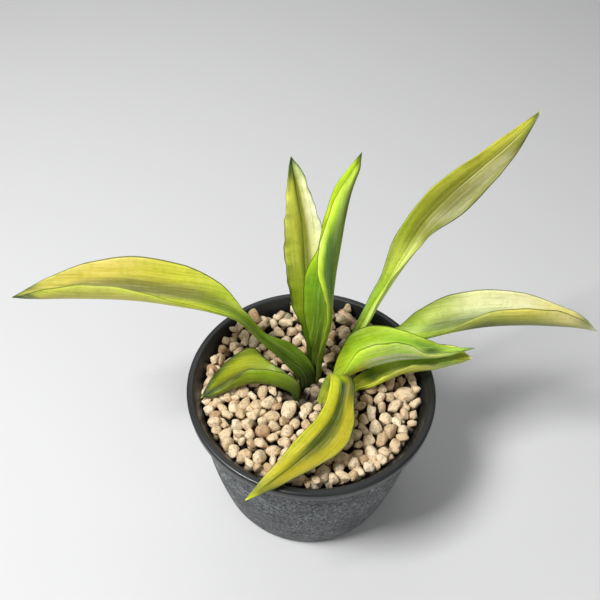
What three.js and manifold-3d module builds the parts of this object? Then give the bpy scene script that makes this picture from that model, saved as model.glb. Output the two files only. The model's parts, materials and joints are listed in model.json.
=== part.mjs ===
// A snake plant in a round plastic pot, topped with pumice.
// Millimetres. The pot's axis is Z, its foot stands on z = 0 and its front faces -Y.
import * as THREE from "three";
import { mergeVertices } from "three/addons/utils/BufferGeometryUtils.js";
import Module from "manifold-3d";

// ---------- driving dimensions ----------
const RIM_RADIUS = 70; // outside of the rim band
const POT_HEIGHT = 92; // ground to the top of the rim
const BASE_RADIUS = 53; // outside of the foot
const WALL = 1.7; // side wall of the pot
const RIM_BAND = 6.5; // height of the band round the mouth
const LIP_WIDTH = 3.6; // flat top of the rim, from outside to inside
const BODY_BULGE = 2.6; // how far the side swells past a straight taper
const FLOOR = 3; // thickness of the pot's floor
const STONE_DROP = 5; // rim down to the tops of the stones
const LEAF_THICKNESS = 2.6; // along the middle of a leaf
const MARGIN_THICKNESS = 0.9; // along the edges of a leaf
const DRAIN_RADIUS = 3.5; // each drain hole
const DRAIN_COUNT = 6;
const GAP = 0.3; // left between pieces that touch

// ---------- sizes that follow ----------
const PLANT_SCALE = RIM_RADIUS / 70;
const STONE_LEVEL = POT_HEIGHT - STONE_DROP;
const BED_TOP = STONE_LEVEL - 3;
const SOIL_TOP = BED_TOP - 6;
const BODY_TOP_RADIUS = RIM_RADIUS * 0.915;

const wasm = await Module();
wasm.setup();

// ---------- solids ----------

// A closed geometry as a solid that can be cut and joined.
function toSolid(geometry) {
  const bare = new THREE.BufferGeometry();
  bare.setAttribute("position", geometry.getAttribute("position"));
  bare.setIndex(geometry.index);
  const merged = mergeVertices(bare, 1e-4);
  return new wasm.Manifold(
    new wasm.Mesh({
      numProp: 3,
      vertProperties: merged.attributes.position.array,
      triVerts: new Uint32Array(merged.index.array),
    }),
  );
}

// The biggest connected piece of a triangle list, as a geometry.
function biggestPiece(mesh) {
  const owner = new Map();
  const find = (vertex) => {
    let top = vertex;
    while (owner.get(top) !== top) top = owner.get(top);
    owner.set(vertex, top);
    return top;
  };
  for (const vertex of mesh.triVerts) owner.set(vertex, vertex);
  for (let i = 0; i < mesh.triVerts.length; i += 3) {
    owner.set(find(mesh.triVerts[i + 1]), find(mesh.triVerts[i]));
    owner.set(find(mesh.triVerts[i + 2]), find(mesh.triVerts[i]));
  }
  const pieces = new Map();
  for (let i = 0; i < mesh.triVerts.length; i += 3) {
    const top = find(mesh.triVerts[i]);
    if (!pieces.has(top)) pieces.set(top, []);
    pieces.get(top).push(...mesh.triVerts.subarray(i, i + 3));
  }
  const biggest = [...pieces.values()].sort((a, b) => b.length - a.length)[0];
  const geometry = new THREE.BufferGeometry();
  const positions = new Float32Array(mesh.vertProperties);
  geometry.setAttribute("position", new THREE.BufferAttribute(positions, 3));
  geometry.setIndex(biggest);
  return geometry;
}

// A solid back as a geometry, with only its biggest piece kept.
function toGeometry(solid) {
  return biggestPiece(solid.getMesh());
}

// True when two geometries' boxes come near each other.
function near(first, second) {
  first.computeBoundingBox();
  second.computeBoundingBox();
  return first.boundingBox.intersectsBox(second.boundingBox);
}

// The geometry with the given swollen shapes cut away wherever they reach it.
function clearOf(geometry, shapes) {
  const touching = shapes.filter((shape) => near(geometry, shape));
  if (touching.length === 0) return geometry;
  let solid = toSolid(geometry);
  for (const shape of touching) solid = solid.subtract(toSolid(shape));
  return toGeometry(solid);
}

// A closed skin over a row of rings, each end closed by strips straight across its ring.
function skin(rings) {
  const count = rings[0].length;
  const faces = [];
  for (let i = 0; i + 1 < rings.length; i += 1) {
    for (let j = 0; j < count; j += 1) {
      const next = (j + 1) % count;
      const [a, b] = [i * count + j, i * count + next];
      faces.push(a, b, b + count, a, b + count, a + count);
    }
  }
  const lastRing = (rings.length - 1) * count;
  for (let j = 0; j + 1 < count / 2; j += 1) {
    const [a, b, c, d] = [j, j + 1, count - 2 - j, count - 1 - j];
    faces.push(a, c, b, a, d, c);
    faces.push(lastRing + a, lastRing + b, lastRing + c, lastRing + a, lastRing + c, lastRing + d);
  }
  const geometry = new THREE.BufferGeometry().setFromPoints(rings.flat());
  geometry.setIndex(faces);
  return facingOut(geometry);
}

// The geometry with its faces turned to point out.
function facingOut(geometry) {
  const at = (i) => new THREE.Vector3().fromBufferAttribute(geometry.attributes.position, i);
  const index = geometry.index.array;
  let volume = 0;
  for (let i = 0; i < index.length; i += 3) {
    volume += at(index[i]).dot(at(index[i + 1]).cross(at(index[i + 2])));
  }
  if (volume < 0) {
    for (let i = 0; i < index.length; i += 3) {
      [index[i + 1], index[i + 2]] = [index[i + 2], index[i + 1]];
    }
  }
  return geometry;
}

// A solid of revolution about Z from [radius, height] pairs.
function turned(profile, segments = 64) {
  const outline = profile.map(([radius, height]) => new THREE.Vector2(radius, height));
  const geometry = new THREE.LatheGeometry(outline, segments);
  geometry.rotateX(Math.PI / 2);
  const merged = new THREE.BufferGeometry();
  merged.setAttribute("position", geometry.getAttribute("position"));
  merged.setIndex(geometry.index);
  return facingOut(withoutSlivers(mergeVertices(merged, 1e-4)));
}

// The geometry without the triangles that fold to a line on the axis.
function withoutSlivers(geometry) {
  const index = geometry.index.array;
  const kept = [];
  for (let i = 0; i < index.length; i += 3) {
    const [a, b, c] = index.slice(i, i + 3);
    if (a !== b && b !== c && c !== a) kept.push(a, b, c);
  }
  geometry.setIndex(kept);
  return geometry;
}

// ---------- pot ----------

// Outside radius of the pot's side at a height under the rim band.
function sideRadius(height) {
  const share = height / (POT_HEIGHT - RIM_BAND);
  const taper = BASE_RADIUS + (BODY_TOP_RADIUS - BASE_RADIUS) * share;
  return taper + BODY_BULGE * 4 * share * (1 - share);
}

// Inside radius of the pot at a height above its floor.
function insideRadius(height) {
  const under = POT_HEIGHT - RIM_BAND;
  if (height <= under) return sideRadius(height) - WALL;
  const share = (height - under) / RIM_BAND;
  const low = sideRadius(under) - WALL;
  return low + (RIM_RADIUS - LIP_WIDTH - low) * share;
}

// The pot: floor, swelling side, rim band with a rounded top, and drain holes.
function makePot() {
  const under = POT_HEIGHT - RIM_BAND;
  const steps = 6;
  const profile = [[0, 0], [BASE_RADIUS - 2.5, 0], [BASE_RADIUS - 0.8, 0.8]];
  for (let i = 0; i < steps; i += 1) {
    const height = 2.5 + ((under - 2.5) * i) / (steps - 1);
    profile.push([sideRadius(height), height]);
  }
  profile.push([RIM_RADIUS - 1.2, under]);
  profile.push([RIM_RADIUS - 0.6, under + 0.8]);
  profile.push([RIM_RADIUS, POT_HEIGHT - 1.4]);
  profile.push([RIM_RADIUS - 0.5, POT_HEIGHT - 0.4]);
  profile.push([RIM_RADIUS - 1.5, POT_HEIGHT]);
  profile.push([RIM_RADIUS - LIP_WIDTH + 0.8, POT_HEIGHT]);
  profile.push([RIM_RADIUS - LIP_WIDTH, POT_HEIGHT - 0.8]);
  for (let i = steps - 1; i >= 0; i -= 1) {
    const height = FLOOR + ((under - FLOOR) * i) / (steps - 1);
    profile.push([insideRadius(height), height]);
  }
  profile.push([0, FLOOR]);
  let solid = toSolid(turned(profile, 72));
  for (let i = 0; i < DRAIN_COUNT; i += 1) {
    const angle = (2 * Math.PI * i) / DRAIN_COUNT;
    const hole = new THREE.CylinderGeometry(DRAIN_RADIUS, DRAIN_RADIUS, FLOOR * 4, 16);
    hole.rotateX(Math.PI / 2);
    hole.translate(BASE_RADIUS * 0.6 * Math.cos(angle), BASE_RADIUS * 0.6 * Math.sin(angle), 0);
    solid = solid.subtract(toSolid(hole));
  }
  return toGeometry(solid);
}

// A filling that follows the pot's inside from one height to another.
function filling(bottom, top) {
  const profile = [[0, bottom]];
  for (let i = 0; i <= 3; i += 1) {
    const height = bottom + ((top - bottom) * i) / 3;
    profile.push([insideRadius(height) - GAP * 2, height]);
  }
  profile.push([0, top]);
  return turned(profile, 48);
}

// ---------- leaves ----------
// Each row is one station from the base to the tip, at the size of a pot with a 70 mm rim:
// where the fold of the leaf lies (height above the pumice bed), then how far its left
// and right margins stand off from the fold, seen from the base with the inside up.
const station = (at, left, right) => ({ at, left, right });
const LEAVES = {
  leaf_left_long: [
    station([-1, 4, -12], [-4, -3, 0], [3.5, 3, 0]),
    station([-5, 6, 9], [-3, -5, 1], [6, 4, 0]),
    station([-15, 8, 20], [-1, -5, 1], [4, 5, 4]),
    station([-28, 9, 33], [-1, -3, 2], [1, 3, 2]),
    station([-40, 10, 48], [0, -4, 3], [2, 4, 2]),
    station([-53, 11, 54], [0, -6, 4], [3, 11, 7]),
    station([-71, 12, 56], [2, -7, 8], [2.5, 14, 14]),
    station([-97, 13, 57.5], [4, -7, 13.5], [2.5, 14, 17]),
    station([-123, 14, 56], [6, -7, 17], [2, 12, 13.5]),
    station([-146, 15, 53.5], [4.5, -4, 9.5], [1.5, 6, 7]),
    station([-162.5, 16, 51], [0, 0, 0], [0, 0, 0]),
  ],
  leaf_left_short: [
    station([-8, -3, -11], [2, -2.5, 0], [-1, 3, 0]),
    station([-11, -3, 1], [3, -0.5, 12], [-1, 5, 7]),
    station([-24.5, 0, 4.5], [1, 0, 13], [-1, 12, 6]),
    station([-34.5, 0, 4.5], [0, 0, 12.5], [-1, 17, 11]),
    station([-44, -3.3, 4.2], [1.5, -1, 10], [-3, 13, 9]),
    station([-53, -8, 4.4], [2, -0.5, 5], [-3, 7, 5]),
    station([-61.5, -12, 4.6], [0, 0, 0], [0, 0, 0]),
  ],
  leaf_back_upright: [
    station([-1, 20, -11], [-2.5, -1.5, 0], [2.5, -1.5, 0]),
    station([-0.5, 20, 11], [-2.5, -2, 1], [3, -2, 1]),
    station([-2, 22, 27], [-4, -3, 2.5], [5, -3, 3]),
    station([-3.7, 26, 43], [-9, -4, 4.5], [8, -4, 5]),
    station([-5.4, 31, 59], [-10, -5, 4.5], [9.5, -5, 5]),
    station([-6.8, 35, 74.5], [-10.5, -5, 4], [10.5, -5, 5]),
    station([-8.4, 40, 89], [-9, -5, 4], [9.5, -5, 5]),
    station([-11, 44, 102], [-6, -4, 1.5], [7, -4, 4]),
    station([-13.5, 48, 113], [-3, -3, 2], [5.5, -3, 3]),
    station([-15.3, 50, 124.4], [0, 0, 0], [0, 0, 0]),
  ],
  leaf_centre_upright: [
    station([5, 10, -11], [-2, 3, 0], [-1.5, -3, 0]),
    station([4.5, 9, 12], [-3, 4, 0], [-2, -3, 2]),
    station([6, 9, 29.5], [-8, 5, -2], [-2.5, -4, 4]),
    station([7.6, 11, 48], [-13, 7, -6], [-1.5, -7, 8.5]),
    station([8.3, 14, 64.5], [-15, 7, -5], [-5, -7, 8]),
    station([9.5, 17, 78], [-15, 7, -7], [-10, -6, 7.5]),
    station([10.7, 20, 94], [-10.5, 8, -8], [-10.5, -5, 3]),
    station([11.9, 23, 109.5], [-9.5, 6, -5], [-9, -4, 0]),
    station([13.7, 26, 123.5], [-7.5, 4, -2.5], [-6, -2, -0.5]),
    station([16.6, 29, 135], [-3.5, 2, -1], [-2.5, -1, -0.5]),
    station([17.6, 30, 142.4], [0, 0, 0], [0, 0, 0]),
  ],
  leaf_right_upright: [
    station([14, 19, -11], [-2.5, 1, 0], [2, -2.5, 0]),
    station([19, 18, 11], [-2.5, 1, 0], [2.5, -2.5, 2]),
    station([25, 20, 29.5], [-3, 0, 1.5], [2.5, -4, 5]),
    station([32.3, 25, 47], [-4.5, -1, 0.5], [1, -7, 10]),
    station([40.6, 31, 63], [-6.5, -3, 3.5], [0, -8, 8]),
    station([47.6, 37, 78], [-10, -4, 5], [2.5, -8, 6]),
    station([54.3, 42, 92], [-10.5, -4, 4], [4.5, -8, 0]),
    station([64.5, 47, 105], [-12.5, -4, 4], [9, -8, -2]),
    station([80, 53, 120], [-14, -4, 0.5], [7.5, -7, 0]),
    station([93.8, 58, 134], [-10, -2, -1.5], [2.5, -4, -3]),
    station([104.1, 62, 147.6], [0, 0, 0], [0, 0, 0]),
  ],
  leaf_right_long: [
    station([24, 15, -11], [-0.5, 2.5, 0], [0.5, -2.5, 0]),
    station([26, 17, 7], [-1, 3, 0], [1.5, -2.5, 0]),
    station([32, 19.5, 18], [-1.5, 3.5, 1.5], [1, -3.5, 1]),
    station([49.3, 22, 22.5], [-1, 6, 3], [1.5, -4.5, 1]),
    station([63.2, 21.5, 27], [-5, 10, 8.5], [2, -5.5, 5.5]),
    station([78.7, 21, 33.2], [-4, 12, 15], [-1.5, -7, 11.5]),
    station([96, 20.5, 38.3], [-3, 11, 16.5], [-5, -7, 17.5]),
    station([115.6, 20, 41], [-3, 8, 16], [-6.5, -7, 20]),
    station([134, 21, 40], [-3, 4, 12], [-6.5, -6, 17.5]),
    station([147, 21.5, 38.7], [-1.5, 2.5, 7], [-4, -3.5, 10]),
    station([158.4, 22, 34.5], [0, 0, 0], [0, 0, 0]),
  ],
  leaf_right_folded: [
    station([14, 6, -11], [-1, 2.5, 0], [1, -2.5, 0]),
    station([15.5, 5, 2], [-3, 3, 3], [0, -2.5, 2]),
    station([21, 3, 12], [-6, 7, 10], [-3, -4, 10]),
    station([28.5, 2, 19], [-8.5, 11, 16], [-4, -5, 22]),
    station([37, 3, 22.5], [-8.5, 13, 16], [-4, -5, 23]),
    station([46.5, 5, 24], [-7, 13, 13], [-3.5, -5, 21]),
    station([56.6, 7, 24], [-5, 11, 9], [-4, -5, 16]),
    station([66.7, 8.5, 24.2], [-3, 7.5, 5], [-3, -3.5, 6]),
    station([77.2, 10, 25.2], [-1.5, 3.5, 1.5], [-2, -1.5, 2.5]),
    station([89.8, 11, 29.5], [0, 0, 0], [0, 0, 0]),
  ],
  leaf_right_lower: [
    station([24, 4, -11], [-0.5, 2, 0], [0.5, -2, 0]),
    station([27, 3, -1], [-3, 4, 3], [0.5, -2, 2]),
    station([33, 1, 5], [-4, 6, 4], [0.5, -2.5, 4]),
    station([40.4, 0.5, 11.8], [-4.5, 8, 1.5], [-0.5, -3, 7]),
    station([49, 3, 15.5], [-4, 10, 0], [-1, -4, 9]),
    station([59.2, 6, 15], [-2.5, 12, 0.5], [-1, -5, 11]),
    station([69.3, 8, 15], [-0.5, 12, 5], [-2, -5, 10]),
    station([79.5, 10, 17], [0, 8, 5.5], [-1.5, -3, 6]),
    station([90.4, 12, 19], [0, 0, 0], [0, 0, 0]),
  ],
  leaf_front_yellow: [
    station([6, -7, -11], [2.5, 0.5, 0], [-3, 0.5, 0]),
    station([7.5, -6, 2], [3, 0.5, 0], [-3.5, 0.5, 0]),
    station([10, -5, 11], [3.5, 1, 1], [-4, 1, 0.5]),
    station([13.5, -4, 18], [4.5, 0.5, 2.5], [-4.5, 0.5, 2]),
    station([16.5, -10.5, 21], [6, -1.5, 3.5], [-7, -1.5, 3]),
    station([15.7, -19, 17], [6.5, -3.5, 5], [-8, -2.5, 4]),
    station([12.5, -29.7, 14], [9.5, -5.5, 7], [-9.5, -1, 5]),
    station([4.5, -41.3, 11.7], [13.5, -6.5, 7.5], [-11, -1, 5.5]),
    station([-6, -52.6, 11], [11.5, -4.5, 6], [-9.5, -1.5, 4]),
    station([-18, -64, 10.8], [4.5, -3, 2], [-5.5, 0, 2]),
    station([-31.5, -75.4, 11], [0, 0, 0], [0, 0, 0]),
  ],
};

const HALF_POINTS = 3; // points across each half of a leaf
const STATION_STEPS = 2; // rings between two stations
const BELLY = 0.09; // how far each half bows out, as a share of its width
const INNER_ROOM = 0.45; // how much of the fold's hollow the leaf's own thickness may take

// A point of the plant in the pot's frame.
function placed([x, y, z]) {
  return new THREE.Vector3(x * PLANT_SCALE, y * PLANT_SCALE, BED_TOP + z * PLANT_SCALE);
}

// One ring across a leaf; swell makes it thicker and wider by that much all round.
function leafRing(fold, along, left, right, share, swell) {
  const halves = [left, right].map((offset, side) => {
    const width = offset.length();
    const out = width > 1e-6 ? offset.clone().divideScalar(width) : new THREE.Vector3();
    const normal = side === 0 ? along.clone().cross(out) : out.clone().cross(along);
    return { width: width + 0.25 + swell, out, normal: normal.normalize() };
  });
  const middle = halves[0].normal.clone().add(halves[1].normal).normalize();
  const lean = Math.min(0.999, Math.max(0.12, middle.dot(halves[0].normal)));
  const room = lean / Math.sqrt(1 - lean * lean);
  const span = halves[0].width + halves[1].width;
  const thick = Math.min(LEAF_THICKNESS * PLANT_SCALE, span * 0.3);
  const thin = Math.min(MARGIN_THICKNESS, span * 0.2);
  const ends = Math.min(1, 0.35 + 6 * (1 - share));
  const inside = [];
  const outside = [];
  for (let k = -HALF_POINTS; k <= HALF_POINTS; k += 1) {
    const half = halves[k < 0 ? 0 : 1];
    const across = Math.abs(k) / HALF_POINTS;
    const depth = (thin + (thick - thin) * (1 - across * across)) * ends * 0.5;
    const normal = k === 0 ? middle : half.normal;
    const point = fold.clone().addScaledVector(half.out, across * half.width);
    point.addScaledVector(normal, -BELLY * half.width * 4 * across * (1 - across));
    const inner = k === 0 ? depth * 0.7 : Math.min(depth, INNER_ROOM * across * half.width * room);
    inside.push(point.clone().addScaledVector(normal, inner + swell));
    outside.push(point.clone().addScaledVector(normal, -depth - swell));
  }
  return [...inside, ...outside.reverse()];
}

// A leaf from its stations.
function makeLeaf(rows, swell = 0) {
  const curve = (points) => new THREE.CatmullRomCurve3(points);
  const offset = (values) => new THREE.Vector3(...values).multiplyScalar(PLANT_SCALE);
  const folds = curve(rows.map((row) => placed(row.at)));
  const lefts = curve(rows.map((row) => offset(row.left)));
  const rights = curve(rows.map((row) => offset(row.right)));
  const last = (rows.length - 1) * STATION_STEPS;
  const rings = [];
  for (let i = 0; i <= last; i += 1) {
    const share = i / last;
    const along = folds.getTangent(share);
    const fold = folds.getPoint(share);
    if (i === 0) fold.addScaledVector(along, -swell);
    if (i === last) fold.addScaledVector(along, swell);
    rings.push(leafRing(fold, along, lefts.getPoint(share), rights.getPoint(share), share, swell));
  }
  return skin(rings);
}

// ---------- rhizome and roots ----------

// A round closed tube through points, with a radius at each.
function makeTube(points, radii, swell = 0) {
  const curve = new THREE.CatmullRomCurve3(points);
  const sides = 8;
  const last = (points.length - 1) * 2;
  const frames = curve.computeFrenetFrames(last, false);
  const rings = [];
  for (let i = 0; i <= last; i += 1) {
    const place = (i / last) * (radii.length - 1);
    const low = Math.min(radii.length - 2, Math.floor(place));
    const radius = radii[low] + (radii[low + 1] - radii[low]) * (place - low) + swell;
    const centre = curve.getPoint(i / last);
    if (i === 0) centre.addScaledVector(frames.tangents[0], -swell);
    if (i === last) centre.addScaledVector(frames.tangents[last], swell);
    rings.push(
      Array.from({ length: sides }, (_, j) => {
        const angle = (2 * Math.PI * j) / sides;
        const point = centre.clone();
        point.addScaledVector(frames.normals[i], radius * Math.cos(angle));
        return point.addScaledVector(frames.binormals[i], radius * Math.sin(angle));
      }),
    );
  }
  return skin(rings);
}

const CROWNS = [
  [-1, 6, -24],
  [18, 10, -24],
];
const ROOT_COUNT = 8;

// Two crowns on one short rhizome, with fleshy roots reaching down and out.
function makeRhizome(swell = 0) {
  const scaled = (value) => value * PLANT_SCALE;
  const top = SOIL_TOP - 1.5;
  const parts = CROWNS.map(([x, y, z]) => {
    const foot = placed([x, y, z]);
    const upper = new THREE.Vector3(foot.x, foot.y, top);
    const middle = foot.clone().lerp(upper, 0.5);
    return makeTube([foot, middle, upper], [scaled(5), scaled(9), scaled(7)], swell);
  });
  const [first, second] = CROWNS.map(placed);
  const link = [first, first.clone().lerp(second, 0.5), second];
  parts.push(makeTube(link, [scaled(6), scaled(5), scaled(6)], swell));
  for (let i = 0; i < ROOT_COUNT; i += 1) {
    const angle = (2 * Math.PI * (i + 0.35)) / ROOT_COUNT;
    const start = (Math.cos(angle) < 0 ? first : second).clone();
    const reach = scaled(20 + 7 * Math.sin(5 * i));
    const step = new THREE.Vector3(Math.cos(angle), Math.sin(angle), 0);
    const bend = start.clone().addScaledVector(step, reach * 0.6);
    bend.z = start.z * 0.8;
    const end = start.clone().addScaledVector(step, reach);
    end.z = start.z * 0.35;
    parts.push(makeTube([start, bend, end], [scaled(2.4), scaled(1.8), scaled(1)], swell));
  }
  let solid = toSolid(parts[0]);
  for (const part of parts.slice(1)) solid = solid.add(toSolid(part));
  return toGeometry(solid);
}

// ---------- pumice ----------

// Stones set by hand: place across the pot, then length, width, height and turn in degrees.
const SET_STONES = [
  [-39.2, -4, 9.5, 8.5, 7, 10],
  [-30.4, -12.6, 9, 8, 7, 40],
  [-60, 21, 6.5, 9, 7, 0],
  [-12.1, -14.3, 15, 9, 8, 75],
  [-21.5, -19.5, 9.5, 8, 7, 20],
  [17.6, -44.6, 10.5, 9.5, 8, 0],
  [-5.5, -57, 8.5, 8, 7, 0],
  [7.5, -55.4, 14, 8.5, 8, 50],
  [53, -2, 14, 11, 8, 15],
  [16.1, 57, 8, 7, 7, 0],
  [26, 54.5, 8, 7, 7, 30],
  [-30, 52, 8.5, 8, 7, 0],
  [-18, 57, 9, 8, 7, 10],
  [-52, 36, 6.5, 6, 6, 0],
];
const RING_STONES = [
  { radius: 56.5, count: 22, size: 8.6 },
  { radius: 45.5, count: 15, size: 8.4 },
  { radius: 34, count: 9, size: 8.2 },
];
const STONE_NODES = 42;

// A number from 0 to 1 that looks random but is the same every time.
function scatter(seed) {
  const wave = Math.sin(seed * 12.9898) * 43758.5453;
  return wave - Math.floor(wave);
}

// A stone's row moved in towards the axis until it stands clear of the pot's wall.
function insidePot([x, y, ...rest]) {
  const room = (insideRadius(BED_TOP) - GAP) / PLANT_SCALE - Math.max(rest[0], rest[1]) * 0.55;
  const pull = Math.min(1, room / Math.hypot(x, y));
  return [x * pull, y * pull, ...rest];
}

// The rest of the top layer: rings of stones wherever there is room.
function stoneLayout() {
  const rows = SET_STONES.map(insidePot);
  const clear = ([x, y, length], [otherX, otherY, otherLength]) =>
    Math.hypot(x - otherX, y - otherY) > (length + otherLength) * 0.56;
  for (const ring of RING_STONES) {
    for (let i = 0; i < ring.count; i += 1) {
      const seed = ring.radius + i;
      const angle = (2 * Math.PI * (i + 0.4 * scatter(seed))) / ring.count;
      const size = ring.size * (0.85 + 0.3 * scatter(seed + 7));
      const turn = 180 * scatter(seed + 3);
      const [x, y] = [ring.radius * Math.cos(angle), ring.radius * Math.sin(angle)];
      const row = insidePot([x, y, size, size * 0.86, size * 0.78, turn]);
      if (rows.every((other) => clear(row, other))) rows.push(row);
    }
  }
  return rows.slice(0, STONE_NODES);
}

// One rounded stone with a few worn corners.
function makeStone([x, y, length, width, height, turn], seed, swell = 0) {
  const ball = new THREE.IcosahedronGeometry(1, 1);
  const bare = new THREE.BufferGeometry();
  bare.setAttribute("position", ball.getAttribute("position"));
  const geometry = mergeVertices(bare, 1e-4);
  const corners = geometry.attributes.position;
  const half = [length, width, height].map((side) => (side * PLANT_SCALE) / 2);
  const spin = THREE.MathUtils.degToRad(turn);
  for (let i = 0; i < corners.count; i += 1) {
    const point = new THREE.Vector3().fromBufferAttribute(corners, i);
    point.multiplyScalar(0.84 + 0.2 * scatter(seed * 31 + i));
    point.set(
      point.x * (half[0] + swell * 1.3),
      point.y * (half[1] + swell * 1.3),
      point.z * (half[2] + swell * 1.3),
    );
    point.applyAxisAngle(new THREE.Vector3(0, 0, 1), spin);
    corners.setXYZ(i, point.x, point.y, point.z);
  }
  geometry.translate(x * PLANT_SCALE, y * PLANT_SCALE, BED_TOP + height * PLANT_SCALE * 0.08);
  return facingOut(geometry);
}

// ---------- the whole ----------

const COLOURS = {
  pot: 0x2b2d2e,
  soil: 0x33271d,
  root: 0xb7793f,
  leaf: 0xb9bf3e,
  pumice: 0xcbbb98,
};

const plant = new THREE.Group();
plant.name = "potted_snake_plant";

// Adds one named piece with a material of its own.
function addPiece(name, geometry, colour, roughness) {
  const flat = geometry.index ? geometry.toNonIndexed() : geometry;
  flat.computeVertexNormals();
  const material = new THREE.MeshStandardMaterial({ color: colour, roughness });
  material.name = name;
  const mesh = new THREE.Mesh(flat, material);
  mesh.name = name;
  plant.add(mesh);
}

const swollen = [];
const leafPieces = [];
for (const [name, rows] of Object.entries(LEAVES)) {
  leafPieces.push([name, clearOf(makeLeaf(rows), swollen)]);
  swollen.push(makeLeaf(rows, GAP));
}

const layout = stoneLayout();
const stones = layout.map((row, i) => clearOf(makeStone(row, i + 1), swollen));
const stoneRoom = layout.map((row, i) => makeStone(row, i + 1, GAP));

addPiece("pot", makePot(), COLOURS.pot, 0.5);
const soil = filling(FLOOR + GAP, SOIL_TOP);
addPiece("potting_mix", clearOf(soil, [makeRhizome(GAP), ...swollen]), COLOURS.soil, 1);
addPiece("rhizome", clearOf(makeRhizome(), swollen), COLOURS.root, 0.7);
const bed = filling(SOIL_TOP + GAP, BED_TOP);
addPiece("pumice_bed", clearOf(bed, [...swollen, ...stoneRoom]), COLOURS.pumice, 0.95);
for (const [name, geometry] of leafPieces) addPiece(name, geometry, COLOURS.leaf, 0.45);
stones.forEach((geometry, i) => {
  const name = `pumice_stone_${String(i + 1).padStart(2, "0")}`;
  addPiece(name, geometry, COLOURS.pumice, 0.95);
});

export default plant;
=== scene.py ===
"""A variegated snake plant in a round plastic pot topped with pumice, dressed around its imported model."""

import json
import logging
import math
from dataclasses import dataclass, field
from enum import Enum
from typing import Any, Iterable, Sequence

import bmesh
import bpy
import numpy as np
from mathutils import Matrix, Vector

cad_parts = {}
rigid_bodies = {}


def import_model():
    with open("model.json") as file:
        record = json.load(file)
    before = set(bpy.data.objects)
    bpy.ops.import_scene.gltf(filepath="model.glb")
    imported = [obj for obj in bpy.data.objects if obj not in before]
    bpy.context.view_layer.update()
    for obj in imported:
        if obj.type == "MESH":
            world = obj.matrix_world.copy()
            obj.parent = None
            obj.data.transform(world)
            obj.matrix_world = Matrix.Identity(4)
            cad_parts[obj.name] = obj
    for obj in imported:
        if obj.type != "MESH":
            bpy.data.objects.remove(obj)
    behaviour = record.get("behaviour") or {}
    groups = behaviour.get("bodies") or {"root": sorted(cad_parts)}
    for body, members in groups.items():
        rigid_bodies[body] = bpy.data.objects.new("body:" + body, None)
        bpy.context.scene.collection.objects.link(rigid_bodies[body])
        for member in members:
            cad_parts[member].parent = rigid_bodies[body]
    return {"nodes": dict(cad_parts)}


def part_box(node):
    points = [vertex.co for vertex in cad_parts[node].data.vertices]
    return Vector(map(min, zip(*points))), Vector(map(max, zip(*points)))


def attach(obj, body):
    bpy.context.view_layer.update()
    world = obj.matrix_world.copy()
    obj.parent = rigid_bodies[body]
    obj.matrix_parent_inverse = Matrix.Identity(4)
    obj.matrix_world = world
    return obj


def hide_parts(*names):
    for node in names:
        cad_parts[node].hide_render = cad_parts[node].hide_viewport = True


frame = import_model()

logging.basicConfig(level=logging.INFO, format="%(message)s")
log = logging.getLogger("potted_snake_plant")

MM = 0.001
DRAWN_RIM = 70 * MM
ROOT = "root"
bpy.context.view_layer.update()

Triple = tuple[float, float, float]
Colour = tuple[float, float, float, float]
Tones = tuple[tuple[float, Colour], ...]
# From low and high to start and end.
Range = tuple[float, float, float, float]
# Scale, detail and roughness of a noise.
Grain = tuple[float, float, float]
Socket = bpy.types.NodeSocket


def dye(red: float, green: float, blue: float) -> Colour:
    """A colour as it looks, turned to the light values that a shader takes.

    Args:
        red: Red from 0 to 255.
        green: Green from 0 to 255.
        blue: Blue from 0 to 255.

    Returns:
        Linear red, green, blue and an alpha of 1.
    """
    parts = [channel / 255 for channel in (red, green, blue)]
    low = [part / 12.92 if part <= 0.04045 else ((part + 0.055) / 1.055) ** 2.4 for part in parts]
    return (low[0], low[1], low[2], 1.0)


# ---------- node trees ----------


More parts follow.
